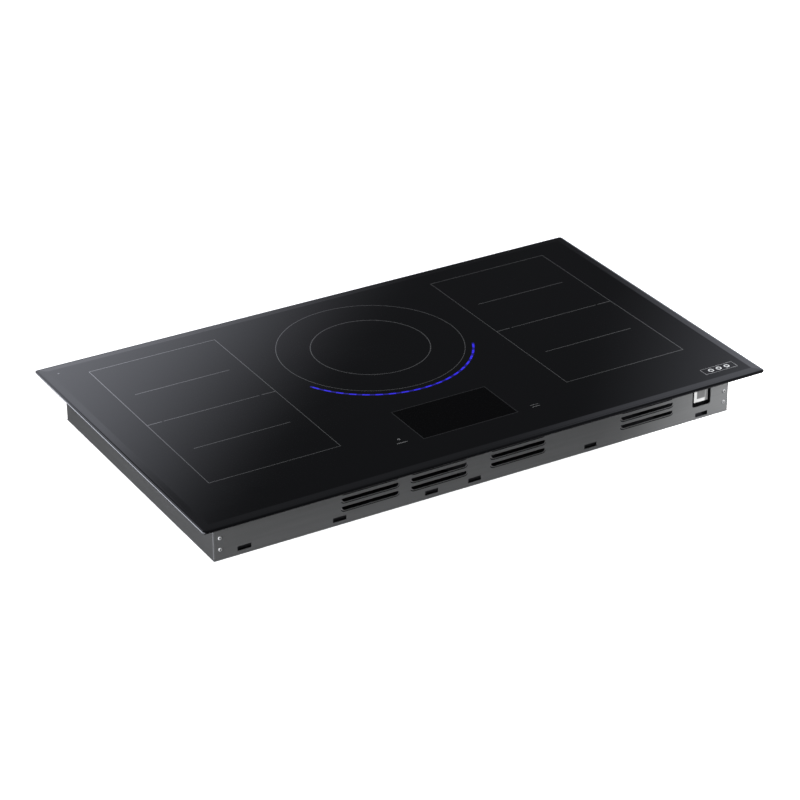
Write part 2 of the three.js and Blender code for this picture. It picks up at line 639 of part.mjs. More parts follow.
part('control_carrier', controlCarrier(), BLACK_PLASTIC, 0, DISPLAY_Y);
part('control_board', controlBoard(), CIRCUIT_BOARD, 0, DISPLAY_Y);
part('display_module', displayModule(), BLACK_PLASTIC, 0, DISPLAY_Y);

// ---------------------------------------------------------------- supply connection
const GLAND = { x: SUPPLY.x + 25, bore: 7.5, neck: 10.5, flange: 15, dome: 12.5 };

// Sheet box, open towards the rear panel.
function terminalBox() {
  const { x, z, halfWidth, halfHeight, depth } = SUPPLY;
  const far = REAR - SHEET - GAP;
  const box = (wall, over) => block([x - halfWidth + wall, far - depth + wall, z - halfHeight + wall],
    [x + halfWidth - wall, far + over, z + halfHeight - wall]);
  return cut(box(0, 0), box(1, 1));
}

function terminalCover() {
  const { x, z, halfWidth, halfHeight } = SUPPLY;
  const [dx, dz] = [halfWidth + 4, halfHeight + 3];
  const outline = rectangle(x - dx, z - dz, x + dx, z + dz);
  const near = REAR + GAP;
  return stand(withHoles(outline, [circle(GLAND.x, z, GLAND.neck + GAP, 24)]), near, near + SHEET);
}

// Insulating block with a recess for each conductor.
function terminalBlock() {
  const [x0, x1] = [SUPPLY.x - 48, SUPPLY.x + 6];
  const [near, far] = [REAR - 40, REAR - 20];
  const [low, top] = [SUPPLY.z - SUPPLY.halfHeight + 1 + GAP, SUPPLY.z - 3];
  const ways = 4;
  const pitch = (x1 - x0) / ways;
  const recesses = Array.from({ length: ways }, (_, i) =>
    block([x0 + i * pitch + 2, near + 3, top - 5], [x0 + (i + 1) * pitch - 2, far + 1, top + 1]));
  return cut(block([x0, near, low], [x1, far, top]), ...recesses);
}

// Flanged gland for the supply cable, its bore along Y.
function cableGland() {
  const near = REAR - 6;
  const seat = REAR + GAP + SHEET + GAP;
  const body = join(pin(GLAND.neck, GLAND.x, SUPPLY.z, near, seat + 1, 24),
    pin(GLAND.flange, GLAND.x, SUPPLY.z, seat, seat + 4, 6),
    pin(GLAND.dome, GLAND.x, SUPPLY.z, seat + 3, seat + 15, 24));
  return cut(body, pin(GLAND.bore, GLAND.x, SUPPLY.z, near - 1, seat + 16, 20));
}

part('terminal_box', terminalBox(), ZINC_STEEL);
part('terminal_cover', terminalCover(), ZINC_STEEL);
part('terminal_block', terminalBlock(), PALE_PLASTIC);
part('cable_gland', cableGland(), BLACK_PLASTIC);

export default cooktop;
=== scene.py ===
"""Looks of the induction cooktop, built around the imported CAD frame. Lengths named _MM are in millimetres."""

import json
import math

import bmesh
import bpy
from mathutils import Matrix, Vector

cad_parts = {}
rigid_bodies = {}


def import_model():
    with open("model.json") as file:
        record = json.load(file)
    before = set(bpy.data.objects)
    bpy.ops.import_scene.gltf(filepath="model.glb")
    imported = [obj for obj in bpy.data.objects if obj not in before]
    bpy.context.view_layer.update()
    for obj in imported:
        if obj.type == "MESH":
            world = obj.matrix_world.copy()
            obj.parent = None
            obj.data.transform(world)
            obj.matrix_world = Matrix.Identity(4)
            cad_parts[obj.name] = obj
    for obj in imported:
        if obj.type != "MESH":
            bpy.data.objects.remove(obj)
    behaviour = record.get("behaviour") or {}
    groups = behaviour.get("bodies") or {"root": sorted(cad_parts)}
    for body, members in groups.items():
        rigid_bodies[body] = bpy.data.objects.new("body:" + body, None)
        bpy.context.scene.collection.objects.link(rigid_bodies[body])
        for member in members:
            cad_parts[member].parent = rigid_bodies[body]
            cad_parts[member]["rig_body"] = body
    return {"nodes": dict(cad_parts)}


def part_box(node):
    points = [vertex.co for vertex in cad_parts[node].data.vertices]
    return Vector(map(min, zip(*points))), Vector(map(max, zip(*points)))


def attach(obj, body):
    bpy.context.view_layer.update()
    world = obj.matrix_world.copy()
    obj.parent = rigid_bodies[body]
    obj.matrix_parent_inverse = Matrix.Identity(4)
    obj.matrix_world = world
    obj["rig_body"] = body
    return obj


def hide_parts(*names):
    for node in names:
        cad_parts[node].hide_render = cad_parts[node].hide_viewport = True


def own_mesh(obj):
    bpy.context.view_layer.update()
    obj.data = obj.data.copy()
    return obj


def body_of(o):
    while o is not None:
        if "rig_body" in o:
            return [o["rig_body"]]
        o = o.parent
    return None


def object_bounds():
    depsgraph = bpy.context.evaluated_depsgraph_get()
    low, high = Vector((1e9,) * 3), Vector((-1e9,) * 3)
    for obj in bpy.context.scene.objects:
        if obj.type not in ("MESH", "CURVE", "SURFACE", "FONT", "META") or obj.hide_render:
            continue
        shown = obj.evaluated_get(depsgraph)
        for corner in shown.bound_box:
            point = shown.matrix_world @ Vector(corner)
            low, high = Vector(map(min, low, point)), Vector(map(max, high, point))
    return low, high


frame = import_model()
CAD_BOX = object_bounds()
NODES = frame["nodes"]
MM = 0.001


# -------------------- places read from the frame
glass_low, glass_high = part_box("glass_top")
RIM_MM = 1.5                        # width of the rounded rim outside the nominal edge of the plate
FRONT_EDGE = glass_low.y + RIM_MM * MM
TOP = glass_high.z - 0.06 * MM      # top face, with the raised print between it and the highest point
PANEL_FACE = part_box("front_panel")[0].y
REAR_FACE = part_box("rear_panel")[1].y
TRAY_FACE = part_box("electronics_tray")[0].y


def middle(node):
    low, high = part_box(node)
    return (low + high) / 2


ROUND_ZONE = middle("centre_coil_outer")
DISPLAY = middle("display_module")


def ahead(distance_mm):
    """Y of a line that lies distance_mm behind the nominal front edge of the glass."""
    return FRONT_EDGE + distance_mm * MM


def adjust(thing, **settings):
    """Sets attributes of a thing and gives it back."""
    for name, value in settings.items():
        setattr(thing, name, value)
    return thing


def new_object(name, data):
    made = bpy.data.objects.new(name, data)
    bpy.context.scene.collection.objects.link(made)
    return made


# -------------------- camera
LENS_MM, SENSOR_MM = 130.67, 36
CAMERA_PLACE = (-1.90238, -3.24626, 2.01424)
CAMERA_RIGHT = Vector((0.86203, -0.50686, -0.00247))
CAMERA_UP = Vector((0.23859, 0.40147, 0.88425))


def place_camera():
    data = bpy.data.cameras.new("camera")
    data.lens, data.sensor_width = LENS_MM, SENSOR_MM
    data.clip_start, data.clip_end = 0.1, 200
    camera = new_object("camera", data)
    place = Matrix((CAMERA_RIGHT, CAMERA_UP, CAMERA_RIGHT.cross(CAMERA_UP))).transposed().to_4x4()
    place.translation = CAMERA_PLACE
    camera.matrix_world = place
    bpy.context.scene.camera = camera


place_camera()
bpy.context.scene.view_settings.view_transform = "Standard"


# -------------------- node materials
class Nodes:
    """A node tree. Its calls add nodes and return their outputs."""

    def __init__(self, tree):
        self.tree = tree

    def feed(self, socket, value):
        """Gives a socket another node's output or a plain value. A plain colour has three parts."""
        if isinstance(value, bpy.types.NodeSocket):
            self.tree.links.new(value, socket)
        else:
            socket.default_value = (*value, 1) if socket.type == "RGBA" else value

    def node(self, kind, inputs=None, output=0, **settings):
        made = adjust(self.tree.nodes.new("ShaderNode" + kind), **settings)
        for socket, value in (inputs or {}).items():
            self.feed(made.inputs[socket], value)
        return made.outputs[output]

    def math(self, operation, *values):
        return self.node("Math", dict(enumerate(values)), operation=operation)

    def span(self, value, low, high, start=0.3, end=0.7):
        """Value, which runs from start to end, brought to run from low to high."""
        ends = {"From Min": start, "From Max": end, "To Min": low, "To Max": high}
        return self.node("MapRange", {"Value": value, **ends})

    def fade(self, value, start, end):
        """0 at start, 1 at end, with a smooth run between them."""
        ends = {"From Min": start, "From Max": end}
        return self.node("MapRange", {"Value": value, **ends}, interpolation_type="SMOOTHSTEP")

    def mix(self, share, dark, light):
        """Colour between dark and light by share."""
        return self.node("Mix", {0: share, 6: dark, 7: light}, output=2, data_type="RGBA")


class Finish(Nodes):
    """A node material."""

    def __init__(self, name, **sockets):
        self.material = bpy.data.materials.new(name)
        self.material.use_nodes = True
        super().__init__(self.material.node_tree)
        self.shader = self.tree.nodes["Principled BSDF"]
        self.place = self.node("TexCoord", output="Object")
        for socket, value in sockets.items():
            self.set(socket.replace("_", " "), value)

    def set(self, socket, value):
        self.feed(self.shader.inputs[socket], value)

    def show(self, shader):
        """Shows another shader in place of the usual one."""
        self.feed(self.tree.nodes["Material Output"].inputs[0], shader)

    def stretched(self, stretch):
        return self.node("Mapping", {"Vector": self.place, "Scale": stretch})

    def noise(self, scale, detail, stretch=(1, 1, 1)):
        """Soft noise with scale spots to a metre."""
        return self.node("TexNoise", {"Vector": self.stretched(stretch), "Scale": scale, "Detail": detail})

    def cells(self, scale, output, stretch=(1, 1, 1)):
        """Cells with scale of them to a metre: output 0 is the distance, 1 a colour of each cell's own."""
        return self.node("TexVoronoi", {"Vector": self.stretched(stretch), "Scale": scale}, output=output)

    def coat(self, colour, roughness, height=None, depth_mm=0, strength=0):
        """Gives the surface its colour and roughness, and a bump where there is a height for it."""
        self.set("Base Color", colour)
        self.set("Roughness", roughness)
        if height:
            bump = {"Height": height, "Distance": depth_mm * MM, "Strength": strength}
            self.set("Normal", self.node("Bump", bump))
        return self


def grey(tone, tint=0.0):
    """Neutral linear colour, bluish for a positive tint."""
    return (tone * (1 - tint), tone, tone * (1 + tint))


def ceramic_glass():
    made = Finish("black_ceramic_glass", IOR=1.5)
    wiped = made.noise(9, 3, stretch=(1, 2.2, 1))
    return made.coat(grey(0.0006, 0.1), made.span(wiped, 0.035, 0.06))


def display_glass():
    """Screened glass over the display, with less gloss than the plate around it."""
    made = Finish("display_glass", IOR=1.21)
    return made.coat(grey(0.0006), made.span(made.noise(900, 1), 0.07, 0.11))


def painted_steel(name="grey_coated_steel", tone=0.078):
    """Semi-gloss grey coat with a fine grain and faint mill streaks."""
    made = Finish(name, Metallic=0.25)
    streaks = made.noise(60, 3, stretch=(0.15, 0.15, 2.5))
    speckle = made.noise(2600, 2)
    shade = made.math("ADD", made.span(streaks, 0, 0.5), made.span(speckle, 0, 0.5))
    colour = made.mix(shade, grey(tone * 0.88, 0.01), grey(tone * 1.12, 0.02))
    return made.coat(colour, made.span(speckle, 0.42, 0.52), speckle, 0.012, 0.5)


def zinc_steel():
    """Galvanised sheet: spangle of flat crystals, each with its own shade and gloss."""
    made = Finish("zinc_steel", Metallic=0.9)
    crystal = made.node("SeparateColor", {"Color": made.cells(110, 1, stretch=(1, 1, 0.6))})
    grain = made.noise(900, 3)
    shade = made.math("ADD", made.span(crystal, 0, 0.75, 0, 1), made.span(grain, 0, 0.25))
    colour = made.mix(shade, (0.34, 0.35, 0.36), (0.52, 0.53, 0.54))
    return made.coat(colour, made.span(crystal, 0.32, 0.5, 0, 1), grain, 0.01, 0.4)


def grained(name, scale, detail, stretch, dark, light, smooth, rough, depth_mm=0, **sockets):
    """Surface whose colour, gloss and bumps all follow one fine grain."""
    made = Finish(name, **sockets)
    grain = made.noise(scale, detail, stretch)
    colour, roughness = made.mix(made.span(grain, 0, 1), dark, light), made.span(grain, smooth, rough)
    return made.coat(colour, roughness, grain if depth_mm else None, depth_mm, 0.4)


def brushed_metal(name, tone, stretch, roughness):
    """Metal with fine lines, drawn out along the axes where stretch is least."""
    return grained(name, 700, 2, stretch, grey(tone * 0.85), grey(tone * 1.1),
                   roughness - 0.05, roughness + 0.08, depth_mm=0.01, Metallic=1.0)


def copper():
    """Stranded enamelled wire, whose fine strands show as short ridges."""
    made = Finish("litz_copper", Metallic=0.85)
    strands = made.noise(2400, 1, stretch=(1, 1, 0.4))
    patches = made.noise(45, 2)
    shade = made.math("ADD", made.span(strands, 0, 0.7), made.span(patches, 0, 0.3))
    colour = made.mix(shade, (0.30, 0.11, 0.045), (0.72, 0.33, 0.15))
    return made.coat(colour, made.span(strands, 0.5, 0.32), strands, 0.08, 0.7)


def plastic(name, colour, roughness, grain=1500, depth_mm=0.02, spread=0.08):
    """Moulded plastic with a fine spark-eroded grain and slight shade drift."""
    made = Finish(name)
    drift = made.span(made.noise(18, 2), 0, 1)
    sparks = made.noise(grain, 2)
    dark, light = ([c * k for c in colour] for k in (1 - spread, 1 + spread))
    roughness = made.span(sparks, roughness - 0.06, roughness + 0.08)
    return made.coat(made.mix(drift, dark, light), roughness, sparks, depth_mm, 0.5)


def painted_shade_black():
    """Painted shade: matt black that gives back almost no light, in place of the shadow in recesses and
    grooves.
    """
    made = Finish("painted_shade_black", Specular_IOR_Level=0.12)
    grain = made.noise(1800, 2)
    colour = made.mix(grain, (0.0010, 0.0010, 0.0011), (0.0016, 0.0016, 0.0017))
    return made.coat(colour, made.span(grain, 0.75, 0.9), grain, 0.02, 0.5)


def board_tracks(made, scale, turn_deg):
    """Straight tracks in rows, 1 on a track and 0 between."""
    turn = (0, 0, math.radians(turn_deg))
    place = made.node("Mapping", {"Vector": made.place, "Rotation": turn, "Scale": (1, 1, 0)})
    rows = {"Mortar Size": 0.016, "Mortar Smooth": 0.2, "Brick Width": 0.85, "Row Height": 0.14}
    return made.node("TexBrick", {"Vector": place, "Scale": scale, **rows}, output=1, offset=0.37)


def circuit_board():
    """Green solder mask over copper tracks that run along and across, with the glass weave just showing."""
    made = Finish("circuit_board", IOR=1.5)
    tracks = made.math("MAXIMUM", board_tracks(made, 26, 0), board_tracks(made, 19, 90))
    weave = made.noise(1500, 1)
    mask = made.mix(tracks, (0.005, 0.050, 0.024), (0.014, 0.105, 0.043))
    colour = made.mix(made.span(weave, 0, 0.25), mask, (0.015, 0.085, 0.038))
    return made.coat(colour, made.span(tracks, 0.34, 0.26, 0, 1), tracks, 0.04, 0.5)


def clear_plastic():
    """Frosted guide that takes the light from the diodes to the glass."""
    return grained("light_guide", 700, 2, (1, 1, 1), (0.70, 0.76, 0.86), (0.82, 0.87, 0.94), 0.18, 0.34,
                   IOR=1.49, Transmission_Weight=0.75)


def print_ink(name, tone):
    """Fired ceramic ink: very fine dots with slightly uneven cover."""
    dark, light = grey(tone * 0.8, 0.02), grey(tone * 1.2, 0.02)
    return grained(name, 3000, 2, (1, 1, 1), dark, light, 0.035, 0.07, IOR=3.1)


def glow(name, dark, light):
    """Diodes behind a diffuser, with a slightly uneven glow."""
    made = Finish(name, Base_Color=(0, 0, 0), Roughness=0.2, Emission_Strength=1.0)
    made.set("Emission Color", made.mix(made.span(made.noise(320, 2), 0, 1), dark, light))
    return made


def foam():
    made = Finish("foam_seal")
    cells = made.cells(900, 0)
    colour = made.mix(made.span(cells, 0, 1, 0.1, 0.8), grey(0.006), grey(0.014))
    return made.coat(colour, made.span(cells, 0.85, 0.98, 0.1, 0.8), cells, 0.15, 0.6)


def paper(name, tone):
    made = Finish(name)
    fibres = made.noise(420, 4, stretch=(1, 1, 3))
    colour = made.mix(made.span(fibres, 0, 1), grey(tone * 0.9), grey(tone))
    return made.coat(colour, made.span(fibres, 0.5, 0.65), fibres, 0.01, 0.3)


GLASS = ceramic_glass()
DISPLAY_GLASS = display_glass()
GREY_STEEL = painted_steel()
ZINC = zinc_steel()
SCREW = painted_steel("plated_screw", 0.42)
# Darker copy of the screw coat, for the right front screws: painted shade.
SHADED_SCREW_COPY = painted_steel("shaded_screw_copy", 0.21)
SPRING_WIRE = brushed_metal("spring_wire", 0.5, (1, 1, 8), 0.3)
ALUMINIUM = brushed_metal("aluminium", 0.66, (5, 0.2, 5), 0.32)
CAN = brushed_metal("capacitor_can", 0.7, (3, 3, 0.3), 0.3)
COPPER = copper()
BLACK_PLASTIC = plastic("black_plastic", (0.008, 0.008, 0.009), 0.5)
SHADE = painted_shade_black()
PALE_PLASTIC = plastic("pale_plastic", (0.62, 0.60, 0.53), 0.5)
FERRITE = plastic("ferrite", (0.022, 0.021, 0.02), 0.55, grain=700, depth_mm=0.06, spread=0.2)
EPOXY = plastic("epoxy_parts", (0.025, 0.025, 0.028), 0.4)
FILM_BOX = plastic("film_capacitor", (0.55, 0.38, 0.06), 0.36)
WHITE_PART = plastic("white_connector", (0.72, 0.72, 0.68), 0.42)
BOARD = circuit_board()
GUIDE = clear_plastic()
PRINT = print_ink("zone_print", 0.072)
FAINT_PRINT = print_ink("faint_print", 0.02)
BRIGHT_PRINT = print_ink("mark_print", 0.16)
SYMBOL_PRINT = print_ink("symbol_print", 0.4)
FLAME_DARK = glow("flame_light_dark", (0.004, 0.002, 0.19), (0.009, 0.005, 0.27))
FLAME_LIGHT = glow("flame_light_bright", (0.022, 0.013, 0.72), (0.038, 0.026, 0.92))
FOAM = foam()
LABEL = paper("label_paper", 0.25)
LABEL_GREY = paper("label_patch", 0.06)

SLOT_FINISH = {
    "ceramic_glass": GLASS, "foam_seal": FOAM, "grey_steel": GREY_STEEL, "zinc_steel": ZINC,
    "screw_steel": SCREW, "aluminium": ALUMINIUM, "copper_winding": COPPER, "pale_plastic": PALE_PLASTIC,
    "black_plastic": BLACK_PLASTIC, "circuit_board": BOARD, "light_guide": GUIDE,
}


# -------------------- mesh building
def skin(mesh, rings, loop=False):
    """Closed solid through rings of points. With loop the last ring joins the first; without it both
    ends are capped."""
    rows = [[mesh.verts.new(point) for point in ring] for ring in rings]
    count = len(rows[0])
    pairs = list(zip(rows, rows[1:] + rows[:1])) if loop else list(zip(rows, rows[1:]))
    for a, b in pairs:
        for i in range(count):
            j = (i + 1) % count
            mesh.faces.new((a[i], a[j], b[j], b[i]))
    if not loop:
        mesh.faces.new(rows[0][::-1])
        mesh.faces.new(rows[-1])


def polar(centre, radius, angle_deg):
    """Plan point at a distance and an angle from a centre."""
    angle = math.radians(angle_deg)
    return centre[0] + radius * math.cos(angle), centre[1] + radius * math.sin(angle)


def circle_path(centre, radius, start=0, end=360, steps=96):
    """Plan points on an arc. A whole circle leaves out its last point, which is its first."""
    last = steps if end - start >= 360 else steps + 1
    return [polar(centre, radius, start + (end - start) * i / steps) for i in range(last)]


def outline(half_x, half_y, radius, steps):
    """Rounded rectangle about the origin, anticlockwise."""
    made = []
    for sx, sy, start in ((1, 1, 0), (-1, 1, 90), (-1, -1, 180), (1, -1, 270)):
        corner = (sx * (half_x - radius), sy * (half_y - radius))
        made += circle_path(corner, radius, start, start + 90, steps)
    return made


def slab(mesh, low, high, radius, ease):
    """Upright block with round corners in plan and eased edges at its top and bottom."""
    half_x, half_y = (high[0] - low[0]) / 2, (high[1] - low[1]) / 2
    centre = ((high[0] + low[0]) / 2, (high[1] + low[1]) / 2)
    radius = min(radius, half_x * 0.95, half_y * 0.95)
    ease = min(ease, radius * 0.8, (high[2] - low[2]) * 0.4)
    rings = []
    for inset, z in ((ease, low[2]), (0, low[2] + ease), (0, high[2] - ease), (ease, high[2])):
        plan = outline(half_x - inset, half_y - inset, radius - inset, 3)
        rings.append([(centre[0] + x, centre[1] + y, z) for x, y in plan])
    skin(mesh, rings)


def turned(mesh, profile, centre, sides=24, axis="Z"):
    """Solid of revolution. The profile runs from one end of the axis to the other as (radius, distance)."""
    rings = []
    for radius, along in profile:
        ring = circle_path((0, 0), max(radius, 1e-5), steps=sides)
        offsets = [(u, v, along) if axis == "Z" else (v, along, u) for u, v in ring]
        rings.append([Vector(centre) + Vector(offset) for offset in offsets])
    skin(mesh, rings)


def tube(mesh, path, radius, sides, loop=False):
    """Round bar along a path, its frame carried along without twist."""
    path = [Vector(p) for p in path]
    count = len(path)
    tangents = []
    for i in range(count):
        before = path[i - 1] if i or loop else path[0]
        after = path[(i + 1) % count] if i < count - 1 or loop else path[-1]
        tangents.append((after - before).normalized())
    side = tangents[0].cross(Vector((0, 0, 1)))
    side = side.normalized() if side.length > 1e-3 else Vector((1, 0, 0))
    section, rings = circle_path((0, 0), radius, steps=sides), []
    for point, tangent in zip(path, tangents):
        side = (side - tangent * side.dot(tangent)).normalized()
        up = tangent.cross(side)
        rings.append([point + side * u + up * v for u, v in section])
    skin(mesh, rings, loop)


def sweep(mesh, path, section, loop=False):
    """Section of (sideways, height) points carried along a plan path, mitred at its corners."""
    path = [Vector((p[0], p[1])) for p in path]
    count = len(path)
    rings = []
    for i, point in enumerate(path):
        before = (point - path[i - 1]).normalized() if i or loop else (path[1] - path[0]).normalized()
        after = (path[(i + 1) % count] - point).normalized() if i < count - 1 or loop else before
        bisector = (before + after).normalized()
        side = Vector((bisector.y, -bisector.x)) / max(bisector.dot(after), 0.3)
        rings.append([(point.x + side.x * out, point.y + side.y * out, level) for out, level in section])
    skin(mesh, rings, loop)


def ribbon(mesh, path, width, low, high, loop=False):
    """Flat strip along a plan path."""
    half = width / 2
    sweep(mesh, path, [(-half, low), (half, low), (half, high), (-half, high)], loop)


def oval_path(centre, half_length, radius, steps=8):
    """Plan points round an oval with straight sides along X and round ends."""
    reach = half_length - radius
    right = circle_path((centre[0] + reach, centre[1]), radius, -90, 90, steps)
    return right + circle_path((centre[0] - reach, centre[1]), radius, 90, 270, steps)


def block(mesh, place, half_x_mm, half_y_mm, low_mm, high_mm, radius_mm=0.8, ease_mm=0.3):
    """Block over a place, given by its half sizes in plan and by how high its foot and its top are."""
    x, y, z = place
    low = (x - half_x_mm * MM, y - half_y_mm * MM, z + low_mm * MM)
    high = (x + half_x_mm * MM, y + half_y_mm * MM, z + high_mm * MM)
    slab(mesh, low, high, radius_mm * MM, ease_mm * MM)


def piece(name, build, finish, slot, given=(), body="chassis", smooth_deg=35, replaced=()):
    """A new object whose mesh build(mesh, *given) fills in, riding on a body."""
    mesh = bmesh.new()
    build(mesh, *given)
    bmesh.ops.recalc_face_normals(mesh, faces=mesh.faces)
    data = bpy.data.meshes.new(name)
    mesh.to_mesh(data)
    mesh.free()
    data.polygons.foreach_set("use_smooth", [smooth_deg > 0] * len(data.polygons))
    if smooth_deg:
        data.set_sharp_from_angle(angle=math.radians(smooth_deg))
    data.materials.append(finish.material)
    made = new_object(name, data)
    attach(made, body)
    if replaced:
        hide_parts(*replaced)
    return made


def made_of(finish, slot, **settings):
    """Makes a piece of the function below it, under the function's own name."""
    def add(build):
        piece(build.__name__, build, finish, slot, **settings)
        return build

    return add


# -------------------- carried-over CAD nodes
EASE_MM = {
    "front_panel": 0.2, "rear_panel": 0.2, "base_cover": 0.25, "electronics_tray": 0.5, "rim_seal": 0.2,
    "air_duct_left": 0.4, "air_duct_right": 0.4, "terminal_cover": 0.25, "terminal_block": 0.4,
    "terminal_box": 0.2, "control_carrier": 0.5, "display_module": 0.4, "cable_gland": 0.4,
    "side_panel_left": 0.15, "side_panel_right": 0.15,
}


def ease_node(node, made):
    """Welds a carried-over node's triangles, rounds its sharp edges a little and shades its curves smooth.
    Large faces keep their own normals, so only the eased edges and curves between them blend."""
    data = made.data
    if "custom_normal" in data.attributes:
        data.attributes.remove(data.attributes["custom_normal"])
    add = made.modifiers.new
    adjust(add("weld", "WELD"), merge_threshold=1e-6)
    adjust(add("flat", "DECIMATE"), decimate_type="DISSOLVE", angle_limit=math.radians(0.5))
    if node in EASE_MM:
        adjust(add("ease", "BEVEL"), width=EASE_MM[node] * MM, segments=2, limit_method="ANGLE",
               angle_limit=math.radians(40))
    adjust(add("shade", "NODES"), node_group=SMOOTH)
    adjust(add("weigh", "WEIGHTED_NORMAL"), mode="FACE_AREA", weight=100, keep_sharp=True)


def smooth_by_angle(limit_deg):
    """Node group that shades faces smooth and keeps edges above an angle sharp."""
    group = bpy.data.node_groups.new("smooth_by_angle", "GeometryNodeTree")
    group.interface.new_socket("Geometry", in_out="INPUT", socket_type="NodeSocketGeometry")
    group.interface.new_socket("Geometry", in_out="OUTPUT", socket_type="NodeSocketGeometry")
    add, link = group.nodes.new, group.links.new
    start, end = add("NodeGroupInput"), add("NodeGroupOutput")
    faces, edges = add("GeometryNodeSetShadeSmooth"), add("GeometryNodeSetShadeSmooth")
    faces.domain, edges.domain = "FACE", "EDGE"
    angle, small = add("GeometryNodeInputMeshEdgeAngle"), add("FunctionNodeCompare")
    small.operation = "LESS_THAN"
    small.inputs[1].default_value = math.radians(limit_deg)
    link(start.outputs[0], faces.inputs[0])
    link(faces.outputs[0], edges.inputs[0])
    link(angle.outputs[0], small.inputs[0])
    link(small.outputs[0], edges.inputs["Shade Smooth"])
    link(edges.outputs[0], end.inputs[0])
    return group


SMOOTH = smooth_by_angle(35)


def finish_node(node, made):
    """Gives a carried-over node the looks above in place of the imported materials, and eases its edges."""
    for slot in made.material_slots:
        packed = slot.material.name.split(".")[0] if slot.material else ""
        if packed in SLOT_FINISH:
            slot.material = SLOT_FINISH[packed].material
    ease_node(node, made)


for node, made in NODES.items():
    finish_node(node, made)


# -------------------- glass plate
BEVEL_WIDTH_MM = 13.3
BEVEL_DROP_MM = 0.9
RIM_DROP_MM = 1.3
RIM_REACH_MM = 5.5                  # how far in the round of the rim goes
RIM_STEPS = 14
ARRIS_MM = 0.25                     # small chamfer at the underside
CREST_OUT_MM, CREST_IN_MM = 0.25, 0.15      # how far the crest between bevel and top is eased
CORNER_MM = 5


def glass_section():
    """Inset from the edge and height of the plate's side, from its underside to its top face."""
    slope = BEVEL_DROP_MM / BEVEL_WIDTH_MM
    high = (TOP - glass_low.z) / MM
    start = high - BEVEL_DROP_MM - RIM_DROP_MM
    climb = RIM_DROP_MM + (RIM_REACH_MM - RIM_MM) * slope
    levels = [(ARRIS_MM, 0), (0, ARRIS_MM)]
    for step in range(RIM_STEPS + 1):
        turn = math.pi / 2 * step / RIM_STEPS
        levels.append((RIM_REACH_MM * (1 - math.cos(turn)), start + climb * math.sin(turn)))
    inner = RIM_MM + BEVEL_WIDTH_MM
    return levels + [(inner - CREST_OUT_MM, high - CREST_OUT_MM * slope), (inner + CREST_IN_MM, high)]


@made_of(GLASS, "ceramic_glass", smooth_deg=0, replaced=("glass_top",))
def glass_plate(mesh):
    half_x, half_y = (glass_high.x - glass_low.x) / 2, (glass_high.y - glass_low.y) / 2
    rings = []
    for inset_mm, level_mm in glass_section():
        inset, level = inset_mm * MM, glass_low.z + level_mm * MM
        plan = outline(half_x - inset, half_y - inset, max(CORNER_MM - inset_mm, 0.8) * MM, 10)
        rings.append([(x, y, level) for x, y in plan])
    skin(mesh, rings)


# -------------------- print on the glass
PRINT_LOW, PRINT_HIGH = TOP - 0.02 * MM, TOP + 0.03 * MM
# Zone lines, in mm from the middle line of the glass and from its front edge.
ZONE_INNER_MM, ZONE_OUTER_MM = 187.5, 392.5
ZONE_FRONT_MM, ZONE_REAR_MM = 112, 494
PAIR_SPLIT_MM = 302.5               # between the front and rear halves of a side zone
FIELD_LEVELS_MM = (209.3, PAIR_SPLIT_MM, 395.5)
FIELD_INNER_MM, FIELD_OUTER_MM = 213.8, 366
TICK_OUTER_MM, TICK_INNER_MM = 369, 210.5       # where the ticks on its long sides end


def printed(mesh, points_mm, width_mm, loop=False, lift_mm=0.0):
    """Printed line through points that lie in mm from the middle line and from the front edge."""
    path = [(x * MM, ahead(y)) for x, y in points_mm]
    ribbon(mesh, path, width_mm * MM, PRINT_LOW + lift_mm * MM, PRINT_HIGH + lift_mm * MM, loop)


def printed_ring(mesh, centre, radius_mm, width_mm, steps):
    path = circle_path(centre, radius_mm * MM, steps=steps)
    ribbon(mesh, path, width_mm * MM, PRINT_LOW, PRINT_HIGH, loop=True)


@made_of(PRINT, "glass_print", smooth_deg=0)
def zone_lines(mesh):
    """On each side a frame, a tick on both its long sides, and three lines across it."""
    for side in (-1, 1):
        inner, outer = side * ZONE_INNER_MM, side * ZONE_OUTER_MM
        front, rear = ZONE_FRONT_MM, ZONE_REAR_MM
        printed(mesh, [(inner, front), (outer, front), (outer, rear), (inner, rear)], 0.95, loop=True)
        for start, end in ((ZONE_OUTER_MM, TICK_OUTER_MM), (TICK_INNER_MM, ZONE_INNER_MM)):
            printed(mesh, [(side * start, PAIR_SPLIT_MM), (side * end, PAIR_SPLIT_MM)], 1.3, lift_mm=0.01)
        for level in FIELD_LEVELS_MM:
            printed(mesh, [(side * FIELD_OUTER_MM, level), (side * FIELD_INNER_MM, level)], 1.0)


@made_of(PRINT, "glass_print", smooth_deg=0)
def zone_rings(mesh):
    for radius_mm, width_mm in ((140.2, 1.0), (89.1, 1.25)):
        printed_ring(mesh, ROUND_ZONE, radius_mm, width_mm, 96)


# Display window with its thin frame, and the touch marks at its sides.
DISPLAY_OUTLINE = [(DISPLAY.x + x, DISPLAY.y + y) for x, y in outline(77.5 * MM, 45.1 * MM, 1 * MM, 3)]


@made_of(DISPLAY_GLASS, "ceramic_glass", smooth_deg=0)
def display_window(mesh):
    skin(mesh, [[(x, y, z) for x, y in DISPLAY_OUTLINE] for z in (PRINT_LOW, PRINT_HIGH)])


@made_of(FAINT_PRINT, "glass_print", smooth_deg=0)
def display_frame(mesh):
    ribbon(mesh, DISPLAY_OUTLINE, 0.9 * MM, PRINT_LOW, PRINT_HIGH + 0.01 * MM, loop=True)


@made_of(BRIGHT_PRINT, "glass_print", smooth_deg=0)
def touch_marks(mesh):
    """A bar and a dot left of the display, two bars right of it."""
    printed(mesh, [(-117.6, 76.7), (-100.7, 76.7)], 1.5)
    printed_ring(mesh, (-108.6 * MM, ahead(87.2)), 1.6, 1.2, 16)
    for level in (72.5, 78):
        printed(mesh, [(103, level), (116, level)], 1.1)


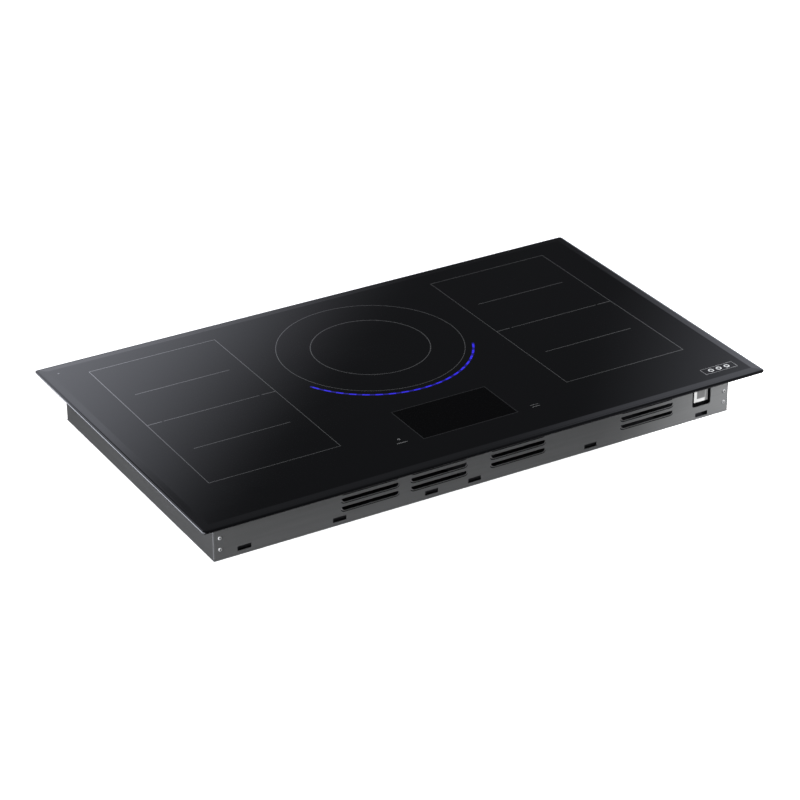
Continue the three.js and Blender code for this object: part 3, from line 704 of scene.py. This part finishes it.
@made_of(PRINT, "glass_print", smooth_deg=0)
def faint_mark(mesh):
    """Small dot near the rear left corner."""
    printed_ring(mesh, (-433 * MM, ahead(512)), 0.9, 0.9, 12)


# Three small rings in a frame, a plain mark of no maker.
SYMBOL_LEFT, SYMBOL_RIGHT, SYMBOL_LOW, SYMBOL_HIGH = 374.6, 430.2, 28, 44


@made_of(BRIGHT_PRINT, "glass_print", smooth_deg=0)
def symbol_frame(mesh):
    left, right, low, high = SYMBOL_LEFT, SYMBOL_RIGHT, SYMBOL_LOW, SYMBOL_HIGH
    printed(mesh, [(left, low), (right, low), (right, high), (left, high)], 0.65, loop=True)


@made_of(SYMBOL_PRINT, "glass_print", smooth_deg=0)
def symbol_rings(mesh):
    x_mm, y_mm = (SYMBOL_LEFT + SYMBOL_RIGHT) / 2, (SYMBOL_LOW + SYMBOL_HIGH) / 2
    for shift_mm in (-14, 0, 14):
        printed_ring(mesh, ((x_mm + shift_mm) * MM, ahead(y_mm)), 3.5, 1.9, 32)


# Flame light: a deep blue arc with brighter segments along it.
FLAME_RADIUS = 152.4 * MM
FLAME_WIDTH = 3.4 * MM
FLAME_START, FLAME_END = -154.6, -25.6
FLAME_SEGMENTS = 18
FLAME_PITCH = (FLAME_END - FLAME_START) / FLAME_SEGMENTS
FLAME_MIDDLES = [FLAME_START + (i + 0.5) * FLAME_PITCH for i in range(FLAME_SEGMENTS)]


@made_of(FLAME_DARK, "flame_light", smooth_deg=0)
def flame_band(mesh):
    path = circle_path(ROUND_ZONE, FLAME_RADIUS, FLAME_START, FLAME_END, 80)
    ribbon(mesh, path, FLAME_WIDTH, PRINT_LOW, PRINT_HIGH)


@made_of(FLAME_LIGHT, "flame_light", smooth_deg=0)
def flame_segments(mesh):
    reach = FLAME_PITCH * 0.28
    for turn in FLAME_MIDDLES:
        path = circle_path(ROUND_ZONE, FLAME_RADIUS, turn - reach, turn + reach, 6)
        ribbon(mesh, path, FLAME_WIDTH * 0.94, PRINT_LOW, PRINT_HIGH + 0.02 * MM)


# -------------------- chassis details
LOUVRE_CENTRES_MM = (-182.6, -72, 58.3, 279)
LOUVRE_LEVELS_MM = (24.5, 37.5, 50.5)
LOUVRES_MM = [(x, z) for x in LOUVRE_CENTRES_MM for z in LOUVRE_LEVELS_MM]
LIP_TOP_MM = -2.3                   # from the middle of a slit
CREASE_MM = -3.5
# Section of a lip: share of the way from its free edge to its crease, and height above the panel in mm.
LIP_SECTION = (
    (0.0, 0.3), (0.0, 0.95), (0.1, 1.0), (0.7, 0.9), (0.95, 0.62),
    (1.0, 0.0), (1.0, -0.4), (0.5, -0.4), (0.5, 0.0),
)


def eye_run(half_mm, top_mm, low_mm, round_x_mm, steps=9):
    """Line down round one end of a slit, along its bottom and up the other end."""
    left = []
    for i in range(steps + 1):
        turn = math.pi / 2 * i / steps
        x = -half_mm + round_x_mm * (1 - math.cos(turn))
        left.append((x, top_mm - (top_mm - low_mm) * math.sin(turn)))
    return left + [(-x, z) for x, z in reversed(left)]


def on_panel(x_mm, z_mm, height_mm):
    """Point at a height over the face of the front panel."""
    return x_mm * MM, PANEL_FACE - height_mm * MM, z_mm * MM


@made_of(GREY_STEEL, "grey_steel", smooth_deg=25)
def louvre_lips(mesh):
    """Pressed lip under each slit. It stands proud of the panel and ends in a crease."""
    inner = eye_run(45.2, 2.6, LIP_TOP_MM, 5.5)
    outer = eye_run(46.4, 1.0, CREASE_MM, 6.0)
    count = len(inner)
    for x_mm, z_mm in LOUVRES_MM:
        rings = []
        for i, (near, far) in enumerate(zip(inner, outer)):
            rise = min(1.0, 0.25 + i / 6, 0.25 + (count - 1 - i) / 6)
            ring = []
            for share, height in LIP_SECTION:
                x = near[0] + (far[0] - near[0]) * share
                z = near[1] + (far[1] - near[1]) * share
                ring.append(on_panel(x_mm + x, z_mm + z, height * rise if height > 0 else height))
            rings.append(ring)
        skin(mesh, rings)


@made_of(SHADE, "grey_steel", smooth_deg=0)
def louvre_crease_shade(mesh):
    """Painted shade: a dark strip under each lip, in place of the shadow in the crease where the sheet was
    pressed.
    """
    near = eye_run(45.6, -0.9, CREASE_MM + 0.1, 6.0)
    far = eye_run(46.4, -1.3, CREASE_MM - 1.8, 6.4)
    for x_mm, z_mm in LOUVRES_MM:
        rings = []
        for a, b in zip(near, far):
            corners = [(a, 0.0), (a, 0.07), (b, 0.07), (b, 0.0)]
            rings.append([on_panel(x_mm + x, z_mm + z, height) for (x, z), height in corners])
        skin(mesh, rings)


# What the label window shows on the wall of the tray: left, right, lower and upper edge of each in mm.
# The black backing round the label is painted shade, in place of the shadow inside the window's depth.
SHADE_SHEET_EDGES = (352, 402, 12, 46.5)
LABEL_EDGES = (367.9, 392.2, 24.2, 45.6)
PATCH_EDGES = (373.0, 387.0, 29.4, 42.6)


def wall_plate(mesh, edges, face, thick_mm):
    """Thin plate standing on a wall that faces the front."""
    left, right, low, high = edges
    half_x, half_z = (right - left) / 2, (high - low) / 2
    plan = [(left + half_x + x, low + half_z + z) for x, z in outline(half_x, half_z, 0.8, 3)]
    skin(mesh, [[(x * MM, face + depth * MM, z * MM) for x, z in plan] for depth in (0.02, -thick_mm)])


LABEL_FACE = TRAY_FACE - 0.18 * MM
# Black sheet round the label: painted shade.
piece("window_shade_sheet", wall_plate, SHADE, "black_plastic", (SHADE_SHEET_EDGES, TRAY_FACE, 0.1), smooth_deg=0)
piece("inner_label", wall_plate, LABEL, "label_stock", (LABEL_EDGES, TRAY_FACE, 0.2), smooth_deg=0)
piece("label_patch", wall_plate, LABEL_GREY, "label_stock", (PATCH_EDGES, LABEL_FACE, 0.06), smooth_deg=0)


# -------------------- fasteners
HEAD_RADIUS_MM, HEAD_HEIGHT_MM = 2.7, 1.9
COVER_HEAD_RADIUS_MM = 2.4
# Section of a head from its recess outwards: share of its radius and height, and whether the cross cuts it.
HEAD_SECTION = (
    (0.36, 0.2, True), (0.54, 0.9, True), (0.58, 1.0, True), (0.66, 1.0, False), (0.86, 0.80, False),
    (0.97, 0.45, False), (1.0, 0.0, False), (0.6, -0.1, False),
)


def cross_head(mesh, centre, outward, radius_mm, sides=32):
    """Pan head with a cross recess, its seat at centre. Outward is -1 or 1 along Y."""
    rings = []
    for share, rise, recessed in HEAD_SECTION:
        ring = []
        for i in range(sides):
            turn = 2 * math.pi * i / sides
            reach = radius_mm * share
            if recessed:
                reach *= 0.78 + 0.22 * abs(math.cos(2 * turn)) ** 3
            offset = (reach * math.cos(turn), outward * rise * HEAD_HEIGHT_MM, reach * math.sin(turn))
            ring.append(Vector(centre) + Vector(offset) * MM)
        rings.append(ring)
    skin(mesh, rings)


def recess_shade(mesh, centre, outward, radius_mm):
    """Painted shade: a dark disc on the floor of a cross recess, in place of its shadow."""
    depth, reach = HEAD_HEIGHT_MM * 0.93, radius_mm * 0.5 * MM
    profile = [(reach, outward * (depth - 0.3) * MM), (reach, outward * depth * MM)]
    turned(mesh, profile, centre, sides=16, axis="Y")


def screw(name, centre, outward, replaced=(), radius_mm=HEAD_RADIUS_MM, coat=SCREW):
    given = (centre, outward, radius_mm)
    piece(name, cross_head, coat, "screw_steel", given, replaced=replaced)
    piece(name + "_recess", recess_shade, SHADE, "black_plastic", given, smooth_deg=0)


# The right front screws take the darker copy of the screw coat: painted shade.
for side_name, coat in (("left", SCREW), ("right", SHADED_SCREW_COPY)):
    for row in ("lower", "upper"):
        node = f"front_screw_{side_name}_{row}"
        head = middle(node)
        screw(node + "_head", (head.x, PANEL_FACE, head.z), -1, replaced=(node,), coat=coat)
        screw(f"rear_screw_{side_name}_{row}", (head.x, REAR_FACE, head.z), 1)

cover_low, cover_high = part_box("terminal_cover")
for side_name, x in (("left", cover_low.x + 5 * MM), ("right", cover_high.x - 5 * MM)):
    for row, z in (("lower", cover_low.z + 4 * MM), ("upper", cover_high.z - 4 * MM)):
        screw(f"cover_screw_{side_name}_{row}", (x, cover_high.y, z), 1, radius_mm=COVER_HEAD_RADIUS_MM)


# -------------------- what shows through the openings, kept dark with painted shade
FILM_CORNER, FILM_EASE = 1 * MM, 0.02 * MM


@made_of(BLACK_PLASTIC, "black_plastic", smooth_deg=0)
def board_shade_films(mesh):
    """Black sheet over the front margin of each inverter board: painted shade that keeps what the louvre slits
    show dark.
    """
    for node in ("inverter_board_left", "inverter_board_right"):
        low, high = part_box(node)
        slab(mesh, (low.x + 0.3 * MM, low.y + 0.3 * MM, high.z + 0.02 * MM),
             (high.x - 0.3 * MM, low.y + 70 * MM, high.z + 0.14 * MM), FILM_CORNER, FILM_EASE)


@made_of(BLACK_PLASTIC, "black_plastic", smooth_deg=0)
def sill_shade_film(mesh):
    """Black strip on the lower flange of the front panel, behind the small slots: painted shade that keeps what
    the slots show dark.
    """
    low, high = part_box("front_panel")
    flange_top = low.z + 1.2 * MM
    slab(mesh, (low.x + 30 * MM, low.y + 1.3 * MM, flange_top + 0.03 * MM),
         (high.x - 30 * MM, low.y + 12.8 * MM, flange_top + 0.16 * MM), FILM_CORNER, FILM_EASE)


# -------------------- coils, springs and sensors on the carriers
TURN_MM = 3.4                       # from one turn to the next
OVAL_BUILD_MM = 28                  # from the innermost turn to the outermost


def winding_section(low, high):
    """Section of one flat-wound turn with a rounded top."""
    half, drop = TURN_MM * 0.46 * MM, high - low
    return [(-half, low), (half, low), (half, high - drop * 0.2), (half * 0.6, high - drop * 0.04),
            (-half * 0.6, high - drop * 0.04), (-half, high - drop * 0.2)]


def oval_winding(mesh, node):
    """Turns laid from the outside in."""
    low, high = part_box(node)
    half_length, radius = (high.x - low.x) / 2, (high.y - low.y) / 2
    for turn in range(int(OVAL_BUILD_MM / TURN_MM)):
        inset = (turn + 0.5) * TURN_MM * MM
        path = oval_path(middle(node), half_length - inset, radius - inset)
        sweep(mesh, path, winding_section(low.z, high.z), loop=True)


def round_winding(mesh, node, inner_mm):
    low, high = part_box(node)
    outer_mm = (high.x - low.x) / 2 / MM
    count = int((outer_mm - inner_mm) / TURN_MM)
    for turn in range(count):
        radius = (outer_mm - (turn + 0.5) * (outer_mm - inner_mm) / count) * MM
        path = circle_path(middle(node), radius, steps=64)
        sweep(mesh, path, winding_section(low.z, high.z), loop=True)


for name in ("left", "right"):
    for number in range(1, 5):
        node = f"flex_coil_{name}_{number}"
        piece(f"litz_coil_{name}_{number}", oval_winding, COPPER, "copper_winding", (node,),
              body=f"carrier_{name}", smooth_deg=50, replaced=(node,))
for node, inner_mm in (("centre_coil_inner", 22), ("centre_coil_outer", 92.5)):
    piece("litz_" + node, round_winding, COPPER, "copper_winding", (node, inner_mm),
          body="carrier_centre", smooth_deg=50, replaced=(node,))


def helical_spring(mesh, node, turns=5, wire_mm=0.6, steps=18):
    """Compression spring with closed end turns, in place of a plain CAD sleeve."""
    low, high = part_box(node)
    radius = (high.x - low.x) / 2 - wire_mm * MM
    climb = high.z - low.z - 2 * wire_mm * MM
    path = []
    for i in range(turns * steps + 1):
        along = i / (turns * steps)
        eased = along - 0.096 * math.sin(2 * math.pi * along)       # closes the turns at both ends
        level = low.z + wire_mm * MM + climb * min(max(eased, 0), 1)
        path.append((*polar(middle(node), radius, 360 * turns * along), level))
    tube(mesh, path, wire_mm * MM, sides=7)


for name, count in (("left", 4), ("right", 4), ("centre", 3)):
    for number in range(1, count + 1):
        node = f"carrier_spring_{name}_{number}"
        spring = piece(f"coiled_spring_{name}_{number}", helical_spring, SPRING_WIRE, "screw_steel", (node,),
                       body=body_of(NODES[node])[0], replaced=(node,))
        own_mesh(spring)


def coil_centres(name):
    """Middles of the windings on one carrier."""
    if name == "centre":
        return [middle("centre_coil_inner")]
    return [middle(f"flex_coil_{name}_{number}") for number in range(1, 5)]


# Profile of a sensor's cap: radius in mm, and share of its height.
PUCK_PROFILE = ((3.9, 0), (4.4, 0.12), (4.4, 0.30), (3.2, 0.36), (3.2, 0.80), (2.7, 0.97), (1.4, 1.0))


def sensor_pucks(mesh, name):
    """Temperature sensor in a soft cap in the middle of each winding."""
    base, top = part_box("centre_former" if name == "centre" else f"flex_former_{name}")
    foot = base.z + 3.5 * MM
    height = top.z - foot - 0.1 * MM
    for centre in coil_centres(name):
        turned(mesh, [(r * MM, share * height) for r, share in PUCK_PROFILE], (centre.x, centre.y, foot))


def ferrite_bars(mesh, name):
    """Ferrite bars in the windows of a carrier plate."""
    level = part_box(f"coil_carrier_{name}")[1].z
    if name == "centre":
        for angle in (30, 150, 270):
            place = polar(middle("coil_carrier_centre"), 70 * MM, angle)
            block(mesh, (*place, level), 12, 6, -2.3, 0.05, 0.6)
        return
    for centre in coil_centres(name):
        block(mesh, (centre.x, centre.y, level), 30, 7, -2.3, 0.05, 0.6)


for name in ("left", "right", "centre"):
    body = f"carrier_{name}"
    piece(f"sensor_pucks_{name}", sensor_pucks, WHITE_PART, "pale_plastic", (name,), body)
    piece(f"ferrite_bars_{name}", ferrite_bars, FERRITE, "black_plastic", (name,), body)


# -------------------- parts on the boards
def on_board(node, x_mm, y_mm):
    """Place on a board's top, measured from the board's front left corner."""
    low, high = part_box(node)
    return low.x + x_mm * MM, low.y + y_mm * MM, high.z + 0.02 * MM


def box_part(mesh, node, x_mm, y_mm, size_mm, radius_mm):
    """Moulded block standing on a board on two short feet."""
    x, y, z = on_board(node, x_mm, y_mm)
    width, depth, height = size_mm
    for shift in (-0.32, 0.32):
        block(mesh, (x + shift * width * MM, y, z), 1, 0.3 * depth, 0, 0.9)
    block(mesh, (x, y, z), width / 2, depth / 2, 0.8, height, radius_mm, 0.4)


def can_part(mesh, node, x_mm, y_mm, radius_mm, height_mm):
    """Aluminium can with a rolled groove near its foot and a dished top."""
    r, h = radius_mm, height_mm
    profile = [(r * 0.9, 0), (r, 0.4), (r, 1.6), (r * 0.93, 2.1), (r * 0.93, 2.5), (r, 3.0), (r, h - 0.8),
               (r * 0.94, h - 0.2), (r * 0.8, h), (r * 0.72, h - 0.35), (r * 0.2, h - 0.3)]
    turned(mesh, [(a * MM, b * MM) for a, b in profile], on_board(node, x_mm, y_mm), sides=28)


def choke_core(mesh, place, radius_mm, height_mm):
    """Toroid core lying on its base."""
    x, y, z = place
    half = radius_mm * 0.28 * MM
    low, high = z + 1.5 * MM, z + height_mm * MM
    section = [(-half, low), (half, low), (half, high), (-half, high)]
    sweep(mesh, circle_path((x, y), radius_mm * 0.7 * MM, steps=36), section, loop=True)


def choke_turns(mesh, place, radius_mm, height_mm, turns=11):
    """Enamelled wire wound round a toroid, in two halves."""
    x, y, z = place
    inner, outer = radius_mm * 0.36 * MM, radius_mm * 1.04 * MM
    low, high = z + 0.8 * MM, z + (height_mm + 0.8) * MM
    for start in (20, 200):
        for i in range(turns):
            angle = start + 140 * i / (turns - 1)
            ring = ((inner, low), (outer, low), (outer, high), (inner, high))
            path = [(*polar((x, y), radius, angle), level) for radius, level in ring]
            tube(mesh, path, 0.75 * MM, sides=6, loop=True)


def chip_part(mesh, node, x_mm, y_mm, half_mm, legs):
    """Flat chip with a row of formed legs on each side."""
    x, y, z = on_board(node, x_mm, y_mm)
    block(mesh, (x, y, z), half_mm, half_mm, 0.2, 1.5, 0.3, 0.15)
    reach = (half_mm + 0.6) * MM
    for leg in range(legs):
        along = half_mm * 0.86 * (2 * leg / (legs - 1) - 1) * MM
        for side in (1, -1):
            block(mesh, (x + side * reach, y + along, z), 0.75, 0.16, 0, 0.35, 0.05, 0.03)
            block(mesh, (x + along, y + side * reach, z), 0.16, 0.75, 0, 0.35, 0.05, 0.03)


def connector_part(mesh, node, x_mm, y_mm, ways, pitch_mm=2.5):
    """Open-topped plug housing with its pins inside."""
    x, y, z = on_board(node, x_mm, y_mm)
    half = ways * pitch_mm / 2 + 1.2
    block(mesh, (x, y, z), half, 3.4, 0, 2.2, 0.3, 0.15)
    for side, top in ((-2.9, 8.5), (2.9, 6.5)):
        block(mesh, (x, y + side * MM, z), half, 0.5, 2, top, 0.3, 0.15)
    for end in (0.45 - half, half - 0.45):
        block(mesh, (x + end * MM, y, z), 0.45, 2.5, 2, 8.5, 0.3, 0.15)
    for way in range(ways):
        pin = x + (way - (ways - 1) / 2) * pitch_mm * MM
        block(mesh, (pin, y, z), 0.32, 0.32, 2, 7.2, 0.1, 0.05)


# Where the free field of each inverter board is, in mm from its front left corner.
FIELDS = {"inverter_board_left": (75, 130), "inverter_board_right": (75, 178)}
# Place, radius and height of each choke.
CHOKES = ((on_board("filter_board", 78, 30), 17, 15), (on_board("filter_board", 78, 70), 15, 14))


@made_of(FILM_BOX, "pale_plastic")
def film_capacitors(mesh):
    for node, (x, y) in FIELDS.items():
        for step in (-1, 0, 1):
            box_part(mesh, node, x + step * 27, y + 20, (22, 34, 28), 1.5)
    for y in (22, 48):
        box_part(mesh, "filter_board", 32, y, (30, 18, 24), 1.5)


@made_of(EPOXY, "black_plastic")
def relays(mesh):
    for node, (x, y) in FIELDS.items():
        for shift in (-13, 13):
            box_part(mesh, node, x + shift, y + 50, (20, 15, 16), 0.6)
    for x in (66, 90):
        box_part(mesh, "filter_board", x, 104, (18, 22, 15), 0.6)


@made_of(CAN, "aluminium")
def electrolytic_cans(mesh):
    for node, (x, y) in FIELDS.items():
        for shift, radius, height in ((-33, 7.5, 26), (-11, 7.5, 26), (11, 5.0, 16), (33, 5.0, 16)):
            can_part(mesh, node, x + shift, y - 16, radius, height)


@made_of(FERRITE, "black_plastic")
def choke_cores(mesh):
    for choke in CHOKES:
        choke_core(mesh, *choke)


@made_of(COPPER, "copper_winding", smooth_deg=60)
def choke_windings(mesh):
    for choke in CHOKES:
        choke_turns(mesh, *choke)


@made_of(EPOXY, "black_plastic", smooth_deg=0)
def chips(mesh):
    for node, (x, y) in FIELDS.items():
        chip_part(mesh, node, x - 34, y + 62, 6, 12)
        chip_part(mesh, node, x + 36, y + 62, 4, 8)
    for x in (20, 236):
        chip_part(mesh, "control_board", x, 66, 5, 11)


@made_of(WHITE_PART, "pale_plastic", smooth_deg=0)
def connectors(mesh):
    for node, (x, y) in FIELDS.items():
        connector_part(mesh, node, x - 8, y + 72, 5)
        connector_part(mesh, node, x + 14, y + 72, 3)
    connector_part(mesh, "filter_board", 22, 110, 4)


@made_of(SPRING_WIRE, "screw_steel")
def touch_springs(mesh, steps=48):
    """Small springs that couple the touch keys to the board, at each side of the display."""
    board_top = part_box("control_board")[1].z
    for x in (-105, -95, 95, 105):
        for y in (-22, 0, 22):
            centre, path = (x * MM, DISPLAY.y + y * MM), []
            for i in range(steps + 1):
                path.append((*polar(centre, 3 * MM, 30 * i), board_top + (0.5 + 6.5 * i / steps) * MM))
            tube(mesh, path, 0.3 * MM, sides=6)


@made_of(WHITE_PART, "pale_plastic")
def arc_diodes(mesh):
    """Light diodes beside the guide, on the light board."""
    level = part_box("flame_light_board")[1].z + 0.02 * MM
    for turn in FLAME_MIDDLES:
        place = polar(ROUND_ZONE, FLAME_RADIUS - 4.3 * MM, turn)
        block(mesh, (*place, level), 1.2, 1.2, 0, 0.9, 0.2, 0.15)


# -------------------- supply connection
TERMINAL_WAYS = 4
TERMINAL_HEAD_MM = ((3.2, 0), (3.3, 0.5), (3.3, 2.0), (2.9, 2.5), (1.0, 2.6))
RIB_COUNT = 20
RIB_RING_MM = 12.6


@made_of(SCREW, "screw_steel")
def terminal_screws(mesh):
    """Clamp screw on a pressure plate, one in each recess of the terminal block."""
    low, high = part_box("terminal_block")
    for way in range(TERMINAL_WAYS):
        x = low.x + (way + 0.5) * (high.x - low.x) / TERMINAL_WAYS
        place = (x, low.y + 11 * MM, high.z - 5 * MM)
        turned(mesh, [(r * MM, h * MM) for r, h in TERMINAL_HEAD_MM], place)
        block(mesh, place, 4.2, 5.5, 0.02, 0.9, 0.4, 0.2)


@made_of(BLACK_PLASTIC, "black_plastic")
def gland_ribs(mesh):
    """Grip ribs round the dome of the cable gland."""
    centre, rear = middle("cable_gland"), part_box("cable_gland")[1].y
    near, far = rear - 11 * MM, rear - 1.5 * MM
    profile = [(0.5 * MM, near), (0.9 * MM, near + 1.2 * MM), (0.9 * MM, far - 1.2 * MM), (0.5 * MM, far)]
    for i in range(RIB_COUNT):
        x, z = polar((centre.x, centre.z), RIB_RING_MM * MM, 360 * i / RIB_COUNT)
        turned(mesh, profile, (x, 0, z), sides=8, axis="Y")


# -------------------- stage
FLOOR_SIZE = 60
FLOOR_GAP_MM = 0.2


def stage_object(name, data, material):
    data.materials.append(material)
    made = new_object(name, data)
    return made


def plane(name, corners):
    data = bpy.data.meshes.new(name)
    data.from_pydata(corners, [], [(0, 1, 2, 3)])
    return data


def make_floor():
    """Pale floor that can be looked through from below."""
    half, level = FLOOR_SIZE / 2, CAD_BOX[0].z - FLOOR_GAP_MM * MM
    corners = ((-half, -half, level), (half, -half, level), (half, half, level), (-half, half, level))
    data = plane("floor", corners)
    surface = Finish("pale_floor", Base_Color=(0.86, 0.86, 0.86), Roughness=0.9,
                     Emission_Color=(1, 1, 1), Emission_Strength=0.75)
    beneath = surface.node("NewGeometry", output="Backfacing")
    clear = surface.node("BsdfTransparent")
    surface.show(surface.node("MixShader", {0: beneath, 1: surface.shader.outputs[0], 2: clear}))
    floor = stage_object("floor", data, surface.material)
    floor.visible_glossy = False
    floor.visible_diffuse = False


# Round patches of light that only gloss shows: azimuth from +Y towards +X, elevation, outer radius and
# soft edge, all in degrees, then the level.
PATCHES = (
    (58.5, 29.0, 20.8, 10.0, 1.2),
    (50.0, 16.0, 13.6, 9.0, 1.05),
    (46.0, 4.0, 16.0, 8.0, 1.6),
    (136, -25, 12, 8, 0.3),
    (36, -14, 27, 9, 1.4),
    (-2, 30, 13, 6, 1.3),
    (-115, 20, 22, 14, 0.9),
    (-120, -28, 30, 12, 5.0),
)
# One large soft box behind. Each edge fades from 0 to 1 as azimuth * a + elevation * b + c does.
SOFT_BOX_LEVEL = 1.52
SOFT_BOX_EDGES = (
    (-0.0963, -0.0868, 5.204),
    (0.0, -0.3333, 11.349),
    (-0.0714, 0.0871, 0.5138),
    (0.1, 0.0, 1.2),
    (0.0, 0.1667, -0.667),
)
# Level of the plain surroundings, what is added high up, and the elevations where the addition starts
# and is whole, and where both begin to fade and are gone.
DARK_LEVEL = 0.068
HIGH_LEVEL = 0.096
HIGH_START, HIGH_END = 31, 35
HIGH_FADE, HIGH_GONE = 44, 88
COOL_WHITE = (0.97, 1.0, 1.12)
DOME_RADIUS = 25
# The card beside the glass: how far out it stands, its reach below, above, before and behind, its level.
CARD_OUT_MM = 11
CARD_BELOW_MM, CARD_ABOVE_MM = 18, 11
CARD_BEFORE_MM, CARD_BEHIND_MM = 10, 120
CARD_LEVEL = 4.4


def light_in_gloss(name, data, surface, level):
    """Stage object that shines, and that nothing but gloss shows."""
    surface.show(surface.node("Emission", {"Strength": level, "Color": COOL_WHITE}))
    made = stage_object(name, data, surface.material)
    for ray in ("camera", "diffuse", "transmission", "volume_scatter", "shadow"):
        setattr(made, "visible_" + ray, False)


def soft_box(surface, turn, rise):
    """Level of the large soft box in a direction."""
    box = SOFT_BOX_LEVEL
    for a, b, c in SOFT_BOX_EDGES:
        line = surface.math("MULTIPLY_ADD", rise, b, c)
        line = surface.math("ADD", surface.math("MULTIPLY", turn, a), line)
        box = surface.math("MULTIPLY", box, surface.fade(line, 0, 1))
    return box


def make_reflections():
    """A far dome with the soft box, the patches and the plain surroundings on it."""
    mesh = bmesh.new()
    bmesh.ops.create_icosphere(mesh, subdivisions=4, radius=DOME_RADIUS)
    data = bpy.data.meshes.new("reflection_dome")
    mesh.to_mesh(data)
    mesh.free()
    surface = Finish("reflection_dome")
    toward = surface.node("VectorMath", {0: surface.place}, operation="NORMALIZE")
    x, y, z = surface.node("SeparateXYZ", {0: toward}).node.outputs
    turn = surface.math("DEGREES", surface.math("ARCTAN2", x, y))
    rise = surface.math("DEGREES", surface.math("ARCSINE", z))
    high = surface.math("MULTIPLY", surface.fade(rise, HIGH_START, HIGH_END), HIGH_LEVEL)
    total = surface.math("ADD", high, DARK_LEVEL)
    total = surface.math("MULTIPLY", total, surface.fade(rise, HIGH_GONE, HIGH_FADE))
    total = surface.math("ADD", total, soft_box(surface, turn, rise))
    for azimuth, elevation, outer, edge, level in PATCHES:
        a, e = math.radians(azimuth), math.radians(elevation)
        aim = (math.sin(a) * math.cos(e), math.cos(a) * math.cos(e), math.sin(e))
        lined = surface.node("VectorMath", {0: toward, 1: aim}, output=1, operation="DOT_PRODUCT")
        away = surface.math("DEGREES", surface.math("ARCCOSINE", lined))
        total = surface.math("MULTIPLY_ADD", surface.fade(away, outer, outer - edge), level, total)
    light_in_gloss("reflection_dome", data, surface, total)


def make_edge_card():
    """Lit strip beside the left edge of the glass."""
    x = glass_low.x - CARD_OUT_MM * MM
    low, high = glass_high.z - CARD_BELOW_MM * MM, glass_high.z + CARD_ABOVE_MM * MM
    front, rear = glass_low.y - CARD_BEFORE_MM * MM, glass_high.y + CARD_BEHIND_MM * MM
    data = plane("edge_card", [(x, front, low), (x, rear, low), (x, rear, high), (x, front, high)])
    light_in_gloss("edge_card", data, Finish("edge_card"), CARD_LEVEL)


def make_world():
    """Pale surroundings: brightest just above the horizon, weaker below it and overhead."""
    world = bpy.data.worlds.new("pale_studio")
    world.use_nodes = True
    nodes = Nodes(world.node_tree)
    height = nodes.node("SeparateXYZ", {0: nodes.node("TexCoord", output="Generated")}, output=2)
    below = nodes.span(height, 0.35, 1.0, -0.1, 0.0)
    overhead = nodes.span(height, 1.0, 0.2, 0.3, 0.6)
    background = nodes.tree.nodes["Background"]
    nodes.feed(background.inputs["Strength"], nodes.math("MULTIPLY", below, overhead))
    nodes.feed(background.inputs["Color"], (1, 1, 1))
    world.cycles_visibility.glossy = False
    bpy.context.scene.world = world


def hang_light(data, place, target):
    """Light at a place, turned to a target and not seen in gloss."""
    made = new_object(data.name, data)
    made.location = place
    made.rotation_mode = "QUATERNION"
    made.rotation_quaternion = (Vector(target) - Vector(place)).to_track_quat("-Z", "Y")
    made.visible_glossy = False
    return made


def soft_light(name, place, target, size, energy):
    data = bpy.data.lights.new(name, "AREA")
    data.shape, data.size, data.energy = "DISK", size, energy
    hang_light(data, place, target).visible_camera = False


def corner_light():
    """Small light close to the right front corner."""
    data = bpy.data.lights.new("corner", "SPOT")
    data.energy, data.shadow_soft_size = 85, 0.05
    data.spot_size, data.spot_blend = math.radians(36), 1.0
    hang_light(data, (0.75, -0.75, 0.35), (0.48, PANEL_FACE, 0.02))


make_floor()
make_reflections()
make_edge_card()
make_world()
soft_light("overhead", (-1.5, -2.5, 5.0), (0, 0, 0), 4.0, 120)
soft_light("front_low", (-0.8, -4.5, 0.5), (0, 0, 0.03), 2.0, 128)
soft_light("left_side", (-4.0, -1.5, 0.9), (0, 0, 0.03), 2.5, 220)
corner_light()
